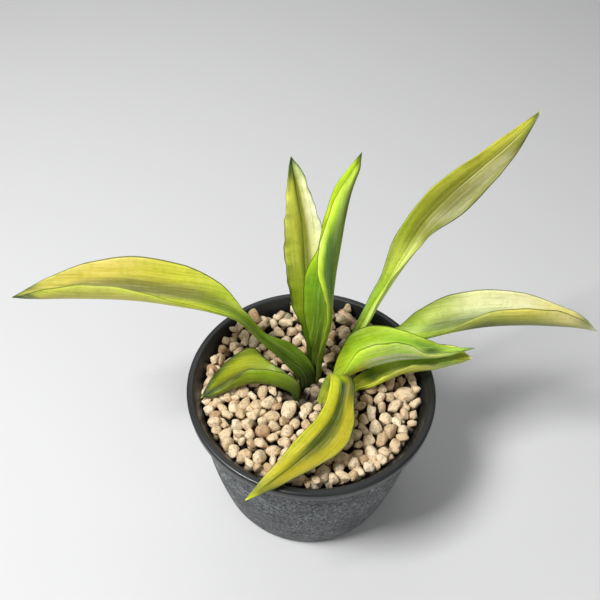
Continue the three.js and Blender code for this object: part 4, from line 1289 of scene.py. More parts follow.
@dataclass
class Leaf:
    """One fleshy leaf, lofted over its stations."""

    name: str
    datum: Datum
    groups: Groups
    thickness: float = 2.6
    margin_thickness: float = 0.8
    belly: float = 0.09
    fold_round: float = 0.16
    spare: float = 0.15
    thickness_share: float = 0.3
    margin_share: float = 0.2
    steps: int = 14
    half_points: int = 14
    vertices: np.ndarray = field(default_factory=lambda: np.zeros((0, 3)))

    def stations(self) -> tuple[np.ndarray, np.ndarray, np.ndarray]:
        """The leaf's stations in millimetres in the frame: fold, left and right offsets.

        Returns:
            Three arrays, one row for each station.
        """
        rows = LEAF_ROWS[self.name]
        size = self.datum.scale
        fold = np.array([row.at for row in rows], float) * size
        fold[:, 2] += self.datum.bed_top / MM
        left = np.array([row.left for row in rows], float) * size
        right = np.array([row.right for row in rows], float) * size
        return fold, left, right

    def build(self) -> bpy.types.Object:
        """Lofts the leaf and dresses it.

        Returns:
            The leaf.
        """
        fold, left, right = self.stations()
        rings = (len(fold) - 1) * self.steps + 1
        share = np.linspace(0, 1, rings)
        spine = through(fold, share)
        offsets = [through(left, share), through(right, share)]
        ahead = unit(np.gradient(spine, axis=0))
        length = np.concatenate([[0], np.cumsum(np.linalg.norm(np.diff(spine, axis=0), axis=1))])
        sheet = self.cross_sections(spine, ahead, offsets, length, share)
        self.vertices = sheet["points"].reshape(-1, 3) * MM
        count = sheet["points"].shape[1]
        faces = ring_faces(rings, count) + self.end_caps(rings, count)
        leaf = make_object(self.name + "_blade", self.vertices, faces)
        self.store_maps(leaf.data, sheet, count, rings)
        dress(leaf, LeafSkin(self.groups, self.name).material(), [self.name])
        return leaf

    def cross_sections(
        self, spine: np.ndarray, ahead: np.ndarray, offsets: list, length: np.ndarray, share: np.ndarray
    ) -> dict:
        """Every ring across the leaf.

        Args:
            spine: The fold, ring by ring.
            ahead: Its direction.
            offsets: The left and the right margin's offsets from it.
            length: Length along it in millimetres.
            share: Share along it from 0 to 1.

        Returns:
            The rings' points, and where they lie across and along the leaf.
        """
        habit = LEAF_HABITS[self.name]
        widths = [np.linalg.norm(offset, axis=1) for offset in offsets]
        outs = [unit(offset) for offset in offsets]
        normals = [unit(np.cross(ahead, outs[0])), unit(np.cross(outs[1], ahead))]
        middle = unit(normals[0] + normals[1])
        lean = np.clip((middle * normals[0]).sum(1), 0.12, 0.999)
        room = lean / np.sqrt(1 - lean**2)
        widths = [width + self.spare for width in widths]
        span = widths[0] + widths[1]
        thick = np.minimum(self.thickness * self.datum.scale, span * self.thickness_share)
        thin = np.minimum(self.margin_thickness, span * self.margin_share)
        ends = np.minimum(1, 0.3 + 7 * (1 - share))
        grid = np.linspace(-1, 1, 2 * self.half_points + 1)
        tops, bottoms, across_mm = [], [], []
        for across in grid:
            reach = abs(across)
            side = 0 if across < 0 else 1
            turn = np.clip(0.5 + across / (2 * self.fold_round), 0, 1)[..., None]
            soft = turn * turn * (3 - 2 * turn)
            normal = unit(normals[0] * (1 - soft) + normals[1] * soft)
            sides = [spine + outs[k] * (reach * widths[k])[:, None] for k in range(2)]
            point = sides[side].copy()
            if reach < self.fold_round:
                gap = (self.fold_round - reach) ** 2 / (4 * self.fold_round)
                other = outs[1 - side] * (gap * widths[1 - side])[:, None]
                point = point + other + outs[side] * (gap * widths[side])[:, None]
            bow = self.belly * widths[side] * 4 * reach * (1 - reach)
            wave = np.sin(2 * math.pi * (length / habit.wavelength + 0.21 * habit.seed) + side * 1.7)
            wave = wave + 0.5 * np.sin(4.6 * math.pi * length / habit.wavelength + habit.seed)
            swing = habit.ripple * wave * reach**3 * np.minimum(1, widths[side] / 8)
            point = point + normal * (swing - bow)[:, None]
            round_off = math.sqrt(max(0.0, 1 - reach**14))
            depth = (thin + (thick - thin) * (1 - reach**2)) * ends * 0.5 * round_off
            inner = np.minimum(depth, 0.5 * reach * widths[side] * room + 0.35 * depth)
            tops.append(point + normal * inner[:, None])
            bottoms.append(point - normal * depth[:, None])
            across_mm.append(across * widths[side])
        inside = np.stack(tops, axis=1)
        outside = np.stack(bottoms, axis=1)[:, -2:0:-1]
        points = np.concatenate([inside, outside], axis=1)
        places = np.concatenate([grid, grid[-2:0:-1]])
        wide = np.stack(across_mm, axis=1)
        wide = np.concatenate([wide, wide[:, -2:0:-1]], axis=1)
        return {"points": points, "across": places, "wide": wide, "length": length, "share": share}

    @staticmethod
    def end_caps(rings: int, count: int) -> list[tuple[int, ...]]:
        """Strips across the first and the last ring.

        Args:
            rings: How many rings there are.
            count: Vertices in each.

        Returns:
            The faces.
        """
        faces = []
        last = (rings - 1) * count
        half = count // 2
        for j in range(half):
            a, b = j, j + 1
            c, d = (count - j - 1) % count, (count - j) % count
            quad = [a, b, c, d]
            kept = [v for i, v in enumerate(quad) if v not in quad[:i]]
            if len(kept) > 2:
                faces.append(tuple(reversed(kept)))
                faces.append(tuple(last + v for v in kept))
        return faces

    @staticmethod
    def store_maps(mesh: bpy.types.Mesh, sheet: dict, count: int, rings: int) -> None:
        """Stores where each vertex lies on the leaf, for its pattern to follow.

        Args:
            mesh: The leaf's mesh.
            sheet: The rings' measures.
            count: Vertices in each ring.
            rings: How many rings there are.
        """
        corner = np.zeros(len(mesh.loops), np.int32)
        mesh.loops.foreach_get("vertex_index", corner)
        across = np.tile(sheet["across"] * 0.5 + 0.5, rings)
        chart = np.stack([across, np.repeat(sheet["share"], count)], axis=1)
        grain = np.stack([sheet["wide"].reshape(-1), np.repeat(sheet["length"], count)], axis=1)
        for name, values in (("chart", chart), ("grain", grain * 0.01)):
            layer = mesh.uv_layers.new(name=name)
            layer.data.foreach_set("uv", values[corner].astype(np.float32).reshape(-1))


@dataclass(frozen=True)
class LeafSkin:
    """One leaf's skin: its bands of colour, streaks along it, fine veins, a dark rim and a waxy sheen."""

    groups: Groups
    leaf: str
    streak_scale: Triple = (34, 2.2, 1)
    streaks_across: Grain = (1, 3, 0.6)
    streaks_along: Grain = (0.5, 2, 0.5)
    wander_across: float = 0.11
    wander_along: float = 0.1
    vein_scale: Triple = (82, 3.2, 1)
    veins: Grain = (1, 5, 0.72)
    deep_veins: Range = (0.49, 0.7, 0, 0.62)
    pale_veins: Range = (0.5, 0.3, 0, 0.34)
    mottle: Grain = (380, 4, 0.65)
    mottle_range: Range = (0.5, 0.7, 0, 0.34)
    blotch_scale: Triple = (14, 19, 1)
    blotches: Grain = (1, 4, 0.6)
    blotch_range: Range = (0.48, 0.68, 0, 0.32)
    rim_range: Range = (0.474, 0.494, 0, 0.8)
    bloom_share: float = 0.45
    specular: float = 0.26
    coat: float = 0.04
    coat_roughness: float = 0.35
    glow: float = 0.12
    glow_depth: Triple = (0.002, 0.0025, 0.0008)
    relief: Grain = (500.0, 2200.0, 0.5)
    vein_tint: Colour = (0.5, 0.55, 0.34, 1)
    mottle_tint: Colour = (0.58, 0.66, 0.4, 1)
    blotch_tint: Colour = (0.66, 0.74, 0.5, 1)
    bloom: Colour = dye(250, 252, 200)
    rim_tone: Colour = dye(58, 72, 24)
    relief_depth: float = 0.00018
    crisp_tips: tuple[str, ...] = ("leaf_right_long", "leaf_front_yellow")

    def banded(self, wire: Wiring, streaks: Socket, chart: Sequence[Socket]) -> Socket:
        """The leaf's bands, with borders that wander along its streaks.

        Args:
            wire: The material's wiring.
            streaks: Where the streaks are read.
            chart: Place across and place along, from 0 to 1.

        Returns:
            The colour.
        """
        wander = wire.minus(wire.noise(streaks, *self.streaks_across), 0.5)
        across = wire.plus(chart[0], wire.times(wander, self.wander_across))
        drift = wire.minus(wire.noise(streaks, *self.streaks_along), 0.5)
        along = wire.plus(chart[1], wire.times(drift, self.wander_along))
        if self.leaf in self.crisp_tips:
            along = wire.maths("MINIMUM", along, chart[1])
        colour, before = None, 0.0
        for band in LEAF_COLOURS[self.leaf]:
            # Band colours go through the gains, which partly paint light and shade on the leaf.
            tints = [(place, with_light_and_tone_gains(self.leaf, band.along, place, tint)) for place, tint in band.stops]
            strip = wire.ramp(across, [(place * 0.5 + 0.5, dye(*tint)) for place, tint in tints])
            if colour is not None:
                strip = wire.mix(wire.span(along, before, band.along), colour, strip)
            colour, before = strip, band.along
        return colour

    def material(self) -> bpy.types.Material:
        """Makes the material.

        Returns:
            The material.
        """
        draft = Draft(self.leaf + "_skin", self.groups)
        wire = draft.wire
        seed = LEAF_HABITS[self.leaf].seed
        chart = wire.add("ShaderNodeUVMap", uv_map="chart").outputs[0]
        chart = wire.add("ShaderNodeSeparateXYZ", {0: chart}).outputs
        grain = wire.add("ShaderNodeUVMap", uv_map="grain").outputs[0]
        streaks = wire.stretched(grain, (seed, seed * 3, 0), self.streak_scale)
        veins = wire.noise(wire.stretched(grain, (seed * 2, seed, 0), self.vein_scale), *self.veins)
        blotches = wire.noise(wire.stretched(grain, (seed, seed, 0), self.blotch_scale), *self.blotches)
        mottle = wire.noise(draft.place, *self.mottle)
        colour = self.banded(wire, streaks, chart)
        colour = wire.darkened(wire.span(veins, *self.deep_veins), colour, self.vein_tint)
        bloomed = wire.mix(self.bloom_share, colour, self.bloom)
        colour = wire.mix(wire.span(veins, *self.pale_veins), colour, bloomed)
        colour = wire.darkened(wire.span(mottle, *self.mottle_range), colour, self.mottle_tint)
        colour = wire.darkened(wire.span(blotches, *self.blotch_range), colour, self.blotch_tint)
        edge = wire.maths("ABSOLUTE", wire.minus(chart[0], 0.5))
        draft.feed("Base Color", wire.mix(wire.span(edge, *self.rim_range), colour, self.rim_tone))
        draft.feed("Roughness", wire.raised(veins, 0.18, 0.38))
        draft.feed("Specular IOR Level", self.specular)
        draft.feed("Coat Weight", self.coat)
        draft.feed("Coat Roughness", self.coat_roughness)
        draft.feed("Subsurface Weight", self.glow)
        draft.feed("Subsurface Radius", self.glow_depth)
        skin = draft.relief(*self.relief)
        draft.bump(wire.plus(veins, wire.times(skin, 0.25)), self.relief_depth, 0.7)
        return draft.material


# ---------- pumice ----------


class Layer(Enum):
    """The layers of loose stones, from the top down."""

    TOP = "top"
    LOWER = "lower"


@dataclass(frozen=True)
class Slope:
    """How the heap of stones climbs towards the back of the pot."""

    rise: float = 5.6 * MM
    start: float = 12 * MM
    full: float = 60 * MM

    def lift(self, across: np.ndarray) -> np.ndarray:
        """How far the stones at some places from front to back are lifted."""
        share = np.clip((across - self.start) / (self.full - self.start), 0, 1)
        return self.rise * share * share * (3 - 2 * share)


@dataclass(frozen=True)
class PumiceSkin:
    """Cream to tan pumice with brown specks, pores darkened as painted shade in the pits, and dust with
    painted shade darkening the stones that lie low between the others.
    """

    groups: Groups
    bed_top: float
    slope: Slope
    tones: Tones = (
        (0.14, dye(120, 78, 58)),
        (0.22, dye(184, 148, 110)),
        (0.42, dye(212, 186, 147)),
        (0.68, dye(230, 208, 172)),
        (1.0, dye(248, 234, 204)),
    )
    cloud: Grain = (170, 4, 0.6)
    stain: Grain = (360, 5, 0.72)
    stain_range: Range = (0.5, 0.7, 0, 0.72)
    specks: Grain = (850.0, 0.26, 0.22)
    speck_strength: float = 0.85
    pores: Grain = (1500.0, 0.34, 0.5)
    pore_shade_strength: float = 0.45
    relief: Grain = (420.0, 1900.0, 0.5)
    stain_tone: Colour = dye(152, 112, 72)
    speck_tone: Colour = dye(74, 46, 28)
    pore_shade_tone: Colour = dye(138, 104, 70)
    # Dark brown for dust and painted shade between the stones, and the heights where it starts and stops.
    dust_and_shade_tone: Colour = dye(48, 34, 24)
    dust_and_shade_low: float = -1.3 * MM
    dust_and_shade_high: float = 2.1 * MM
    dust_and_shade_most: float = 0.94
    dust_and_shade_at_back: float = 0.55
    dust_and_shade_sway: float = 2.4 * MM
    relief_depth: float = 0.0007

    def dust_and_gap_shade(self, draft: Draft, cloud: Socket) -> Socket:
        """How dark a stone is painted, as dust and painted shade between the stones: more the lower it lies
        in the heap, less at the back, where it lightens stones that the leaves shade.

        Args:
            draft: The material in the making.
            cloud: What makes the height of the dust and painted shade uneven.

        Returns:
            The dust and painted shade from 0 to 1.
        """
        wire, slope = draft.wire, self.slope
        axes = wire.add("ShaderNodeSeparateXYZ", {0: draft.place}).outputs
        level = wire.minus(axes[2], wire.span(axes[1], slope.start, slope.full, 0, slope.rise))
        level = wire.plus(level, wire.times(cloud, self.dust_and_shade_sway))
        low, high = self.bed_top + self.dust_and_shade_low, self.bed_top + self.dust_and_shade_high
        dust_and_gap_shade = wire.span(level, low, high, self.dust_and_shade_most, 0)
        return wire.times(dust_and_gap_shade, wire.span(axes[1], slope.start, slope.full, 1, self.dust_and_shade_at_back))

    def material(self) -> bpy.types.Material:
        """Makes the material.

        Returns:
            The material.
        """
        draft = Draft("pumice_stone", self.groups)
        wire = draft.wire
        tone = wire.add("ShaderNodeAttribute", attribute_name="stone_tone").outputs["Fac"]
        cloud = wire.noise(draft.place, *self.cloud)
        colour = wire.ramp(wire.plus(wire.times(tone, 0.7), wire.times(cloud, 0.4)), self.tones)
        stain = wire.span(wire.noise(draft.place, *self.stain), *self.stain_range)
        colour = wire.mix(stain, colour, self.stain_tone)
        specks = draft.speckle(*self.specks)
        colour = wire.mix(wire.times(specks, self.speck_strength), colour, self.speck_tone)
        # Pores are darkened in colour as painted shade in the pits, and dented in the bump.
        pores = draft.speckle(*self.pores)
        colour = wire.mix(wire.times(pores, self.pore_shade_strength), colour, self.pore_shade_tone)
        # Stones low in the heap are painted dark brown, as dust and as the shade between their neighbours.
        draft.feed("Base Color", wire.mix(self.dust_and_gap_shade(draft, cloud), colour, self.dust_and_shade_tone))
        draft.feed("Roughness", wire.raised(cloud, 0.15, 0.8))
        height = wire.minus(draft.relief(*self.relief), wire.times(pores, 0.7))
        draft.bump(wire.minus(height, wire.times(specks, 0.6)), self.relief_depth, 0.9)
        return draft.material


@dataclass
class Heap:
    """Stones of one layer: places, half sizes, turns, tones and which blank each is cut from."""

    places: np.ndarray
    halves: np.ndarray
    turns: np.ndarray
    tones: np.ndarray
    picks: np.ndarray


def blank_points(seed: int, per_side: int = 4) -> tuple[np.ndarray, list[tuple[int, ...]]]:
    """A worn stone of radius 1: a rounded block with a few flats ground on it.

    Args:
        seed: Which stone it is.
        per_side: Faces along each side of the block.

    Returns:
        Its points and its faces.
    """
    rng = np.random.default_rng(seed)
    points, faces, found = [], [], {}
    ticks = np.tan(np.linspace(-math.pi / 4, math.pi / 4, per_side + 1))
    axes = [(0, 1, 2), (1, 2, 0), (2, 0, 1)]
    for first, second, third in axes:
        for sign in (-1.0, 1.0):
            grid = np.zeros((per_side + 1, per_side + 1), int)
            for i, u in enumerate(ticks):
                for j, v in enumerate(ticks):
                    corner = [0.0, 0.0, 0.0]
                    corner[first], corner[second], corner[third] = u, v, sign
                    key = tuple(round(value, 6) for value in corner)
                    if key not in found:
                        found[key] = len(points)
                        points.append(corner)
                    grid[i, j] = found[key]
            for i in range(per_side):
                for j in range(per_side):
                    quad = (grid[i, j], grid[i + 1, j], grid[i + 1, j + 1], grid[i, j + 1])
                    faces.append(quad if sign > 0 else tuple(reversed(quad)))
    shape = np.array(points)
    sphere = unit(shape)
    shape = sphere * (0.8 + 0.2 * np.linalg.norm(shape, axis=1, keepdims=True) / math.sqrt(3))
    for _ in range(3):
        wave = rng.normal(size=3) * 1.6
        shape = shape * (1 + 0.09 * np.sin(shape @ wave + rng.uniform(0, 6))[:, None])
    for _ in range(9):
        flat = unit(rng.normal(size=3))
        height = rng.uniform(0.52, 0.8)
        over = np.maximum(0, shape @ flat - height)
        shape = shape - over[:, None] * flat * 0.94
    return shape / np.abs(shape).max(), faces


@dataclass
class Pumice:
    """The pumice on top of the mix: single stones where the model has them, and loose ones round them."""

    datum: Datum
    pot: Pot
    groups: Groups
    leaf_points: np.ndarray
    single_count: int = 42
    blank_count: int = 14
    small: float = 2.5 * MM
    large: float = 4.6 * MM
    counts: dict = field(default_factory=lambda: {Layer.TOP: 236, Layer.LOWER: 200})
    drops: dict = field(default_factory=lambda: {Layer.TOP: 0.0, Layer.LOWER: 5 * MM})
    slope: Slope = Slope()
    spacing: float = 1.03
    push_share: float = 0.42
    stem_gap: float = 0.72
    wall_gap: float = 0.92
    level_lift: float = 1.2 * MM
    edge_lift: float = 1.8 * MM
    wall_clearance: float = 0.3 * MM
    stem_reach: float = 2.2 * MM
    lower_size: float = 1.1
    sway: tuple[float, float] = (-1.5, 1.2)
    tilt_spread: float = 0.6
    lump_height: float = 0.9 * MM
    rounding_levels: int = 2
    waves: int = 4
    flats: int = 6
    rounds: int = 160
    seed: int = 7

    def headroom(self, place: np.ndarray, reach: float) -> float:
        """How low the leaves come over a place, in metres above the ground.

        Args:
            place: The stone's middle.
            reach: Its radius.

        Returns:
            The lowest leaf point over it, or a height above everything.
        """
        apart = np.linalg.norm(self.leaf_points[:, :2] - place[:2], axis=1)
        over = self.leaf_points[(apart < reach) & (self.leaf_points[:, 2] > self.datum.bed_top - 2 * MM)]
        return float(over[:, 2].min()) if len(over) else 1.0

    def settle(self, layer: Layer, fixed: np.ndarray, fixed_reach: np.ndarray) -> Heap:
        """Spreads loose stones over the bed until they lie side by side.

        Args:
            layer: Which layer it is.
            fixed: Middles of the stones that stay where they are.
            fixed_reach: Their radii.

        Returns:
            The layer's stones.
        """
        rng = np.random.default_rng(self.seed + len(layer.value))
        count = self.counts[layer]
        level = self.datum.bed_top + self.level_lift - self.drops[layer]
        room = self.pot.inside(level) - self.wall_clearance
        widen = (self.pot.inside(level + self.slope.rise * 0.6) - self.pot.inside(level)) / self.slope.rise
        radius = rng.uniform(self.small, self.large, count) * (1 if layer is Layer.TOP else self.lower_size)
        angle = rng.uniform(0, 2 * math.pi, count)
        spread = room * np.sqrt(rng.uniform(0, 1, count))
        spots = np.stack([spread * np.cos(angle), spread * np.sin(angle)], axis=1)
        stems = self.leaf_points[np.abs(self.leaf_points[:, 2] - level) < self.stem_reach][::3, :2]
        for _ in range(self.rounds):
            every = np.vstack([spots, fixed])
            reach = np.concatenate([radius, fixed_reach])
            gap = spots[:, None] - every[None]
            apart = np.linalg.norm(gap, axis=2) + 1e-9
            wanted = (radius[:, None] + reach[None]) * self.spacing
            push = np.maximum(0, wanted - apart) / apart
            push[np.arange(count), np.arange(count)] = 0
            spots = spots + (gap * push[..., None]).sum(1) * self.push_share
            if len(stems) and layer is Layer.TOP:
                gap = spots[:, None] - stems[None]
                apart = np.linalg.norm(gap, axis=2)
                nearest = apart.argmin(1)
                near = apart[np.arange(count), nearest]
                away = gap[np.arange(count), nearest] / (near[:, None] + 1e-9)
                spots = spots + away * np.maximum(0, radius * self.stem_gap - near)[:, None] * 0.5
            out = np.linalg.norm(spots, axis=1)
            limit = room + self.slope.lift(spots[:, 1]) * widen - radius * self.wall_gap
            spots = spots * np.minimum(1, limit / np.maximum(out, 1e-9))[:, None]
        stretch = rng.uniform(0.98, 1.34, count)
        flatness = rng.uniform(0.78, 1.0, count)
        halves = np.stack([radius * stretch, radius / stretch**0.6, radius * flatness], axis=1)
        out = np.linalg.norm(spots, axis=1)
        sway = rng.uniform(*self.sway, count) * MM
        heights = level + sway + self.edge_lift * (out / room) ** 4
        heights = heights + self.slope.lift(spots[:, 1])
        for i, spot in enumerate(spots):
            ceiling = self.headroom(np.array([*spot, level]), radius[i] * 0.9)
            heights[i] = min(heights[i], ceiling - halves[i, 2] * 0.85 - self.wall_clearance)
        places = np.column_stack([spots, heights])
        tilts = rng.normal(0, self.tilt_spread, (count, 2))
        turns = np.column_stack([tilts, rng.uniform(0, 2 * math.pi, count)])
        tones = rng.beta(2.6, 1.7, count)
        picks = rng.integers(0, self.blank_count, count)
        return Heap(places, halves, turns, tones, picks)

    def loose(self, layer: Layer, heap: Heap, material: bpy.types.Material) -> bpy.types.Object:
        """Turns one layer of loose stones into a plain mesh by way of a node tree.

        Args:
            layer: Which layer it is.
            heap: Its stones.
            material: Their finish.

        Returns:
            The layer.
        """
        mesh = bpy.data.meshes.new("stone_places")
        mesh.from_pydata([tuple(map(float, place)) for place in heap.places], [], [])
        for name, values in (("stone_half", heap.halves), ("stone_turn", heap.turns)):
            attribute = mesh.attributes.new(name, "FLOAT_VECTOR", "POINT")
            attribute.data.foreach_set("vector", values.astype(np.float32).reshape(-1))
        set_floats(mesh, "stone_tone", heap.tones)
        attribute = mesh.attributes.new("stone_pick", "INT", "POINT")
        attribute.data.foreach_set("value", heap.picks.astype(np.int32))
        carrier = bpy.data.objects.new("stone_places", mesh)
        bpy.context.scene.collection.objects.link(carrier)
        blanks = bpy.data.collections.new("stone_blanks")
        bpy.context.scene.collection.children.link(blanks)
        for i in range(self.blank_count):
            points, faces = blank_points(self.seed * 100 + i)
            blank = make_object(f"blank_{i:02d}", points, faces)
            bpy.context.scene.collection.objects.unlink(blank)
            blanks.objects.link(blank)
        modifier = carrier.modifiers.new("stones", "NODES")
        modifier.node_group = stone_tree()
        values = {"Blanks": blanks, "Size": 1.0, "Lump Height": self.lump_height}
        values |= {"Seed": self.seed, "Finish": material}
        for item in modifier.node_group.interface.items_tree:
            if item.in_out == "INPUT" and item.name in values:
                modifier[item.identifier] = values[item.name]
        graph = bpy.context.evaluated_depsgraph_get()
        result = bpy.data.meshes.new_from_object(carrier.evaluated_get(graph))
        bpy.data.objects.remove(carrier)
        for blank in list(blanks.objects):
            bpy.data.objects.remove(blank)
        bpy.data.collections.remove(blanks)
        piece = bpy.data.objects.new(f"pumice_{layer.value}_layer", result)
        bpy.context.scene.collection.objects.link(piece)
        return piece

    def single(self, node: str, number: int, material: bpy.types.Material) -> bpy.types.Object:
        """One finely cut stone where the model has one.

        Args:
            node: The CAD node that it stands for.
            number: Which stone it is.
            material: Its finish.

        Returns:
            The stone.
        """
        rng = np.random.default_rng(self.seed * 1000 + number)
        shape = bmesh.new()
        shape.from_mesh(frame["nodes"][node].data)
        bmesh.ops.remove_doubles(shape, verts=shape.verts, dist=0.01 * MM)
        mesh = bpy.data.meshes.new(node + "_worn")
        shape.to_mesh(mesh)
        shape.free()
        stone = bpy.data.objects.new(node + "_worn", mesh)
        bpy.context.scene.collection.objects.link(stone)
        rounding = stone.modifiers.new("rounding", "SUBSURF")
        rounding.levels = rounding.render_levels = self.rounding_levels
        bake_modifiers(stone)
        low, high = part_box(node)
        middle = np.array((low + high) / 2)
        half = np.array((high - low) / 2)
        points = (vertex_points(stone.data) - middle) / half * 1.06
        for _ in range(self.waves):
            wave = rng.normal(size=3) * 3.4
            points = points * (1 + 0.025 * np.sin(points @ wave + rng.uniform(0, 6))[:, None])
        for _ in range(self.flats):
            flat = unit(rng.normal(size=3))
            over = np.maximum(0, points @ flat - rng.uniform(0.66, 0.84))
            points = points - over[:, None] * flat * 0.85
        stone.data.vertices.foreach_set("co", (points * half + middle).astype(np.float32).reshape(-1))
        stone.data.update()
        stone.data.polygons.foreach_set("use_smooth", [True] * len(stone.data.polygons))
        set_floats(stone.data, "stone_tone", np.full(len(points), rng.beta(2.8, 1.6)))
        dress(stone, material, [node])
        return stone

    def build(self) -> list[bpy.types.Object]:
        """Every stone.

        Returns:
            The pieces.
        """
        material = PumiceSkin(self.groups, self.datum.bed_top, self.slope).material()
        nodes = [f"pumice_stone_{i + 1:02d}" for i in range(self.single_count)]
        boxes = [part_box(node) for node in nodes]
        fixed = np.array([((low + high) / 2).xy for low, high in boxes])
        reach = np.array([max(high.x - low.x, high.y - low.y) / 2 for low, high in boxes])
        pieces = [self.single(node, i, material) for i, node in enumerate(nodes)]
        none = np.zeros((0, 2))
        for layer in Layer:
            top = layer is Layer.TOP
            heap = self.settle(layer, fixed if top else none, reach if top else np.zeros(0))
            piece = self.loose(layer, heap, material)
            dress(piece, material, ["pumice_bed"] if top else [])
            pieces.append(piece)
        return pieces


def stone_tree() -> bpy.types.NodeTree:
    """The node tree that sets stones on points and roughens each in its own way.

    Returns:
        The tree.
    """
    tree = bpy.data.node_groups.new("loose_stones", "GeometryNodeTree")
    sockets = {
        "Points": "NodeSocketGeometry",
        "Blanks": "NodeSocketCollection",
        "Size": "NodeSocketFloat",
        "Lump Height": "NodeSocketFloat",
        "Seed": "NodeSocketInt",
        "Finish": "NodeSocketMaterial",
    }
    for name, kind in sockets.items():
        tree.interface.new_socket(name, in_out="INPUT", socket_type=kind)
    tree.interface.new_socket("Stones", in_out="OUTPUT", socket_type="NodeSocketGeometry")
    wire = Wiring(tree)
    source = wire.add("NodeGroupInput")
    given = {name: source.outputs[name] for name in sockets}
    kinds = {"stone_half": "FLOAT_VECTOR", "stone_turn": "FLOAT_VECTOR"}
    kinds |= {"stone_pick": "INT", "stone_tone": "FLOAT"}
    stored = {
        name: wire.add("GeometryNodeInputNamedAttribute", {"Name": name}, data_type=kind).outputs[0]
        for name, kind in kinds.items()
    }
    shapes = wire.add(
        "GeometryNodeCollectionInfo",
        {"Collection": given["Blanks"], "Separate Children": True, "Reset Children": True},
    )
    turn = wire.add("FunctionNodeEulerToRotation", {0: stored["stone_turn"]})
    inputs = {0: stored["stone_half"], "Scale": given["Size"]}
    size = wire.add("ShaderNodeVectorMath", inputs, operation="SCALE")
    stones = wire.add(
        "GeometryNodeInstanceOnPoints",
        {
            "Points": given["Points"],
            "Instance": shapes.outputs[0],
            "Pick Instance": True,
            "Instance Index": stored["stone_pick"],
            "Rotation": turn.outputs[0],
            "Scale": size.outputs[0],
        },
    )
    whole = wire.add("GeometryNodeRealizeInstances", {0: stones.outputs[0]})
    own = wire.plus(wire.times(stored["stone_tone"], 91.0), given["Seed"])
    lumps = wire.add(
        "ShaderNodeTexNoise",
        {"Vector": wire.add("GeometryNodeInputPosition").outputs[0], "W": own, "Scale": 330.0, "Detail": 1.0},
        noise_dimensions="4D",
    )
    height = wire.times(wire.minus(lumps.outputs[0], 0.5), given["Lump Height"])
    height = wire.times(height, 2.0)
    lift = wire.add(
        "ShaderNodeVectorMath",
        {0: wire.add("GeometryNodeInputNormal").outputs[0], "Scale": height},
        operation="SCALE",
    )
    moved = wire.add("GeometryNodeSetPosition", {"Geometry": whole.outputs[0], "Offset": lift.outputs[0]})
    smooth = wire.add("GeometryNodeSetShadeSmooth", {0: moved.outputs[0]})
    inputs = {"Geometry": smooth.outputs[0], "Material": given["Finish"]}
    dressed = wire.add("GeometryNodeSetMaterial", inputs)
    wire.add("NodeGroupOutput", {0: dressed.outputs[0]})
    return tree


# ---------- mix and roots ----------


@dataclass(frozen=True)
class PottingMix:
    """Dark, gritty potting mix."""

    groups: Groups
    tones: Tones = ((0.3, dye(28, 20, 15)), (0.55, dye(52, 38, 28)), (0.75, dye(92, 70, 50)))
    cloud: Grain = (300, 5, 0.7)
    grit: Grain = (450.0, 0.3, 0.12)
    grit_strength: float = 0.8
    grit_tone: Colour = dye(176, 150, 118)
    relief: Grain = (350.0, 1500.0, 0.6)
    relief_depth: float = 0.0012

    def material(self) -> bpy.types.Material:
        """Makes the material.

        Returns:
            The material.
        """
        draft = Draft("potting_mix", self.groups)
        wire = draft.wire
        cloud = wire.noise(draft.place, *self.cloud)
        grit = wire.times(draft.speckle(*self.grit), self.grit_strength)
        draft.feed("Base Color", wire.mix(grit, wire.ramp(cloud, self.tones), self.grit_tone))
        draft.feed("Roughness", wire.raised(cloud, 0.1, 0.86))
        draft.bump(draft.relief(*self.relief), self.relief_depth)
        return draft.material


@dataclass(frozen=True)
class RhizomeSkin:
    """Smooth orange-brown rhizome with ring scars."""

    groups: Groups
    tones: Tones = ((0.2, dye(120, 72, 34)), (0.5, dye(186, 122, 62)), (0.8, dye(222, 172, 104)))
    cloud: Grain = (220, 4, 0.6)
    ring_scale: float = 90.0
    ring_bend: float = 2.5
    relief_depth: float = 0.0003

    def material(self) -> bpy.types.Material:
        """Makes the material.

        Returns:
            The material.
        """
        draft = Draft("rhizome_skin", self.groups)
        wire = draft.wire
        inputs = {"Vector": draft.place, "Scale": self.ring_scale, "Distortion": self.ring_bend}
        rings = wire.add("ShaderNodeTexWave", inputs)
        cloud = wire.noise(draft.place, *self.cloud)
        pick = wire.plus(wire.times(rings.outputs[1], 0.3), wire.times(cloud, 0.7))
        draft.feed("Base Color", wire.ramp(pick, self.tones))
        draft.feed("Roughness", wire.raised(cloud, 0.2, 0.5))
        draft.bump(pick, self.relief_depth, 0.6)
        return draft.material


@dataclass
class Filling:
    """The potting mix and the rhizome, whose CAD shapes stay and get finishes of their own."""

    groups: Groups

    def build(self) -> None:
        """Dresses both CAD nodes."""
        for node, finish in (("potting_mix", PottingMix(self.groups)), ("rhizome", RhizomeSkin(self.groups))):
            thing = frame["nodes"][node]
            thing.data.materials.clear()
            thing.data.materials.append(finish.material())
            log.info("%s: dressed", node)


# ---------- studio ----------


@dataclass(frozen=True)
class PaleFloor:
    """A plain matt floor."""

    groups: Groups
    tone: Colour = (0.62, 0.62, 0.62, 1)
    roughness: float = 0.9

    def material(self) -> bpy.types.Material:
        """Makes the material.

        Returns:
            The material.
        """
        draft = Draft("floor", self.groups)
        draft.feed("Base Color", self.tone)
        draft.feed("Roughness", self.roughness)
        return draft.material


@dataclass(frozen=True)
class Lamp:
    """One square light that points at the plant."""

    name: str
    place: Triple
    size: float
    power: float


LAMPS = (
    Lamp("key", (-0.54, -0.28, 1.1), 0.32, 17.0),
    Lamp("fill", (0.6, -0.7, 0.9), 0.9, 1.7),
    Lamp("back", (-0.2, 0.9, 1.1), 1.0, 3.2),
)


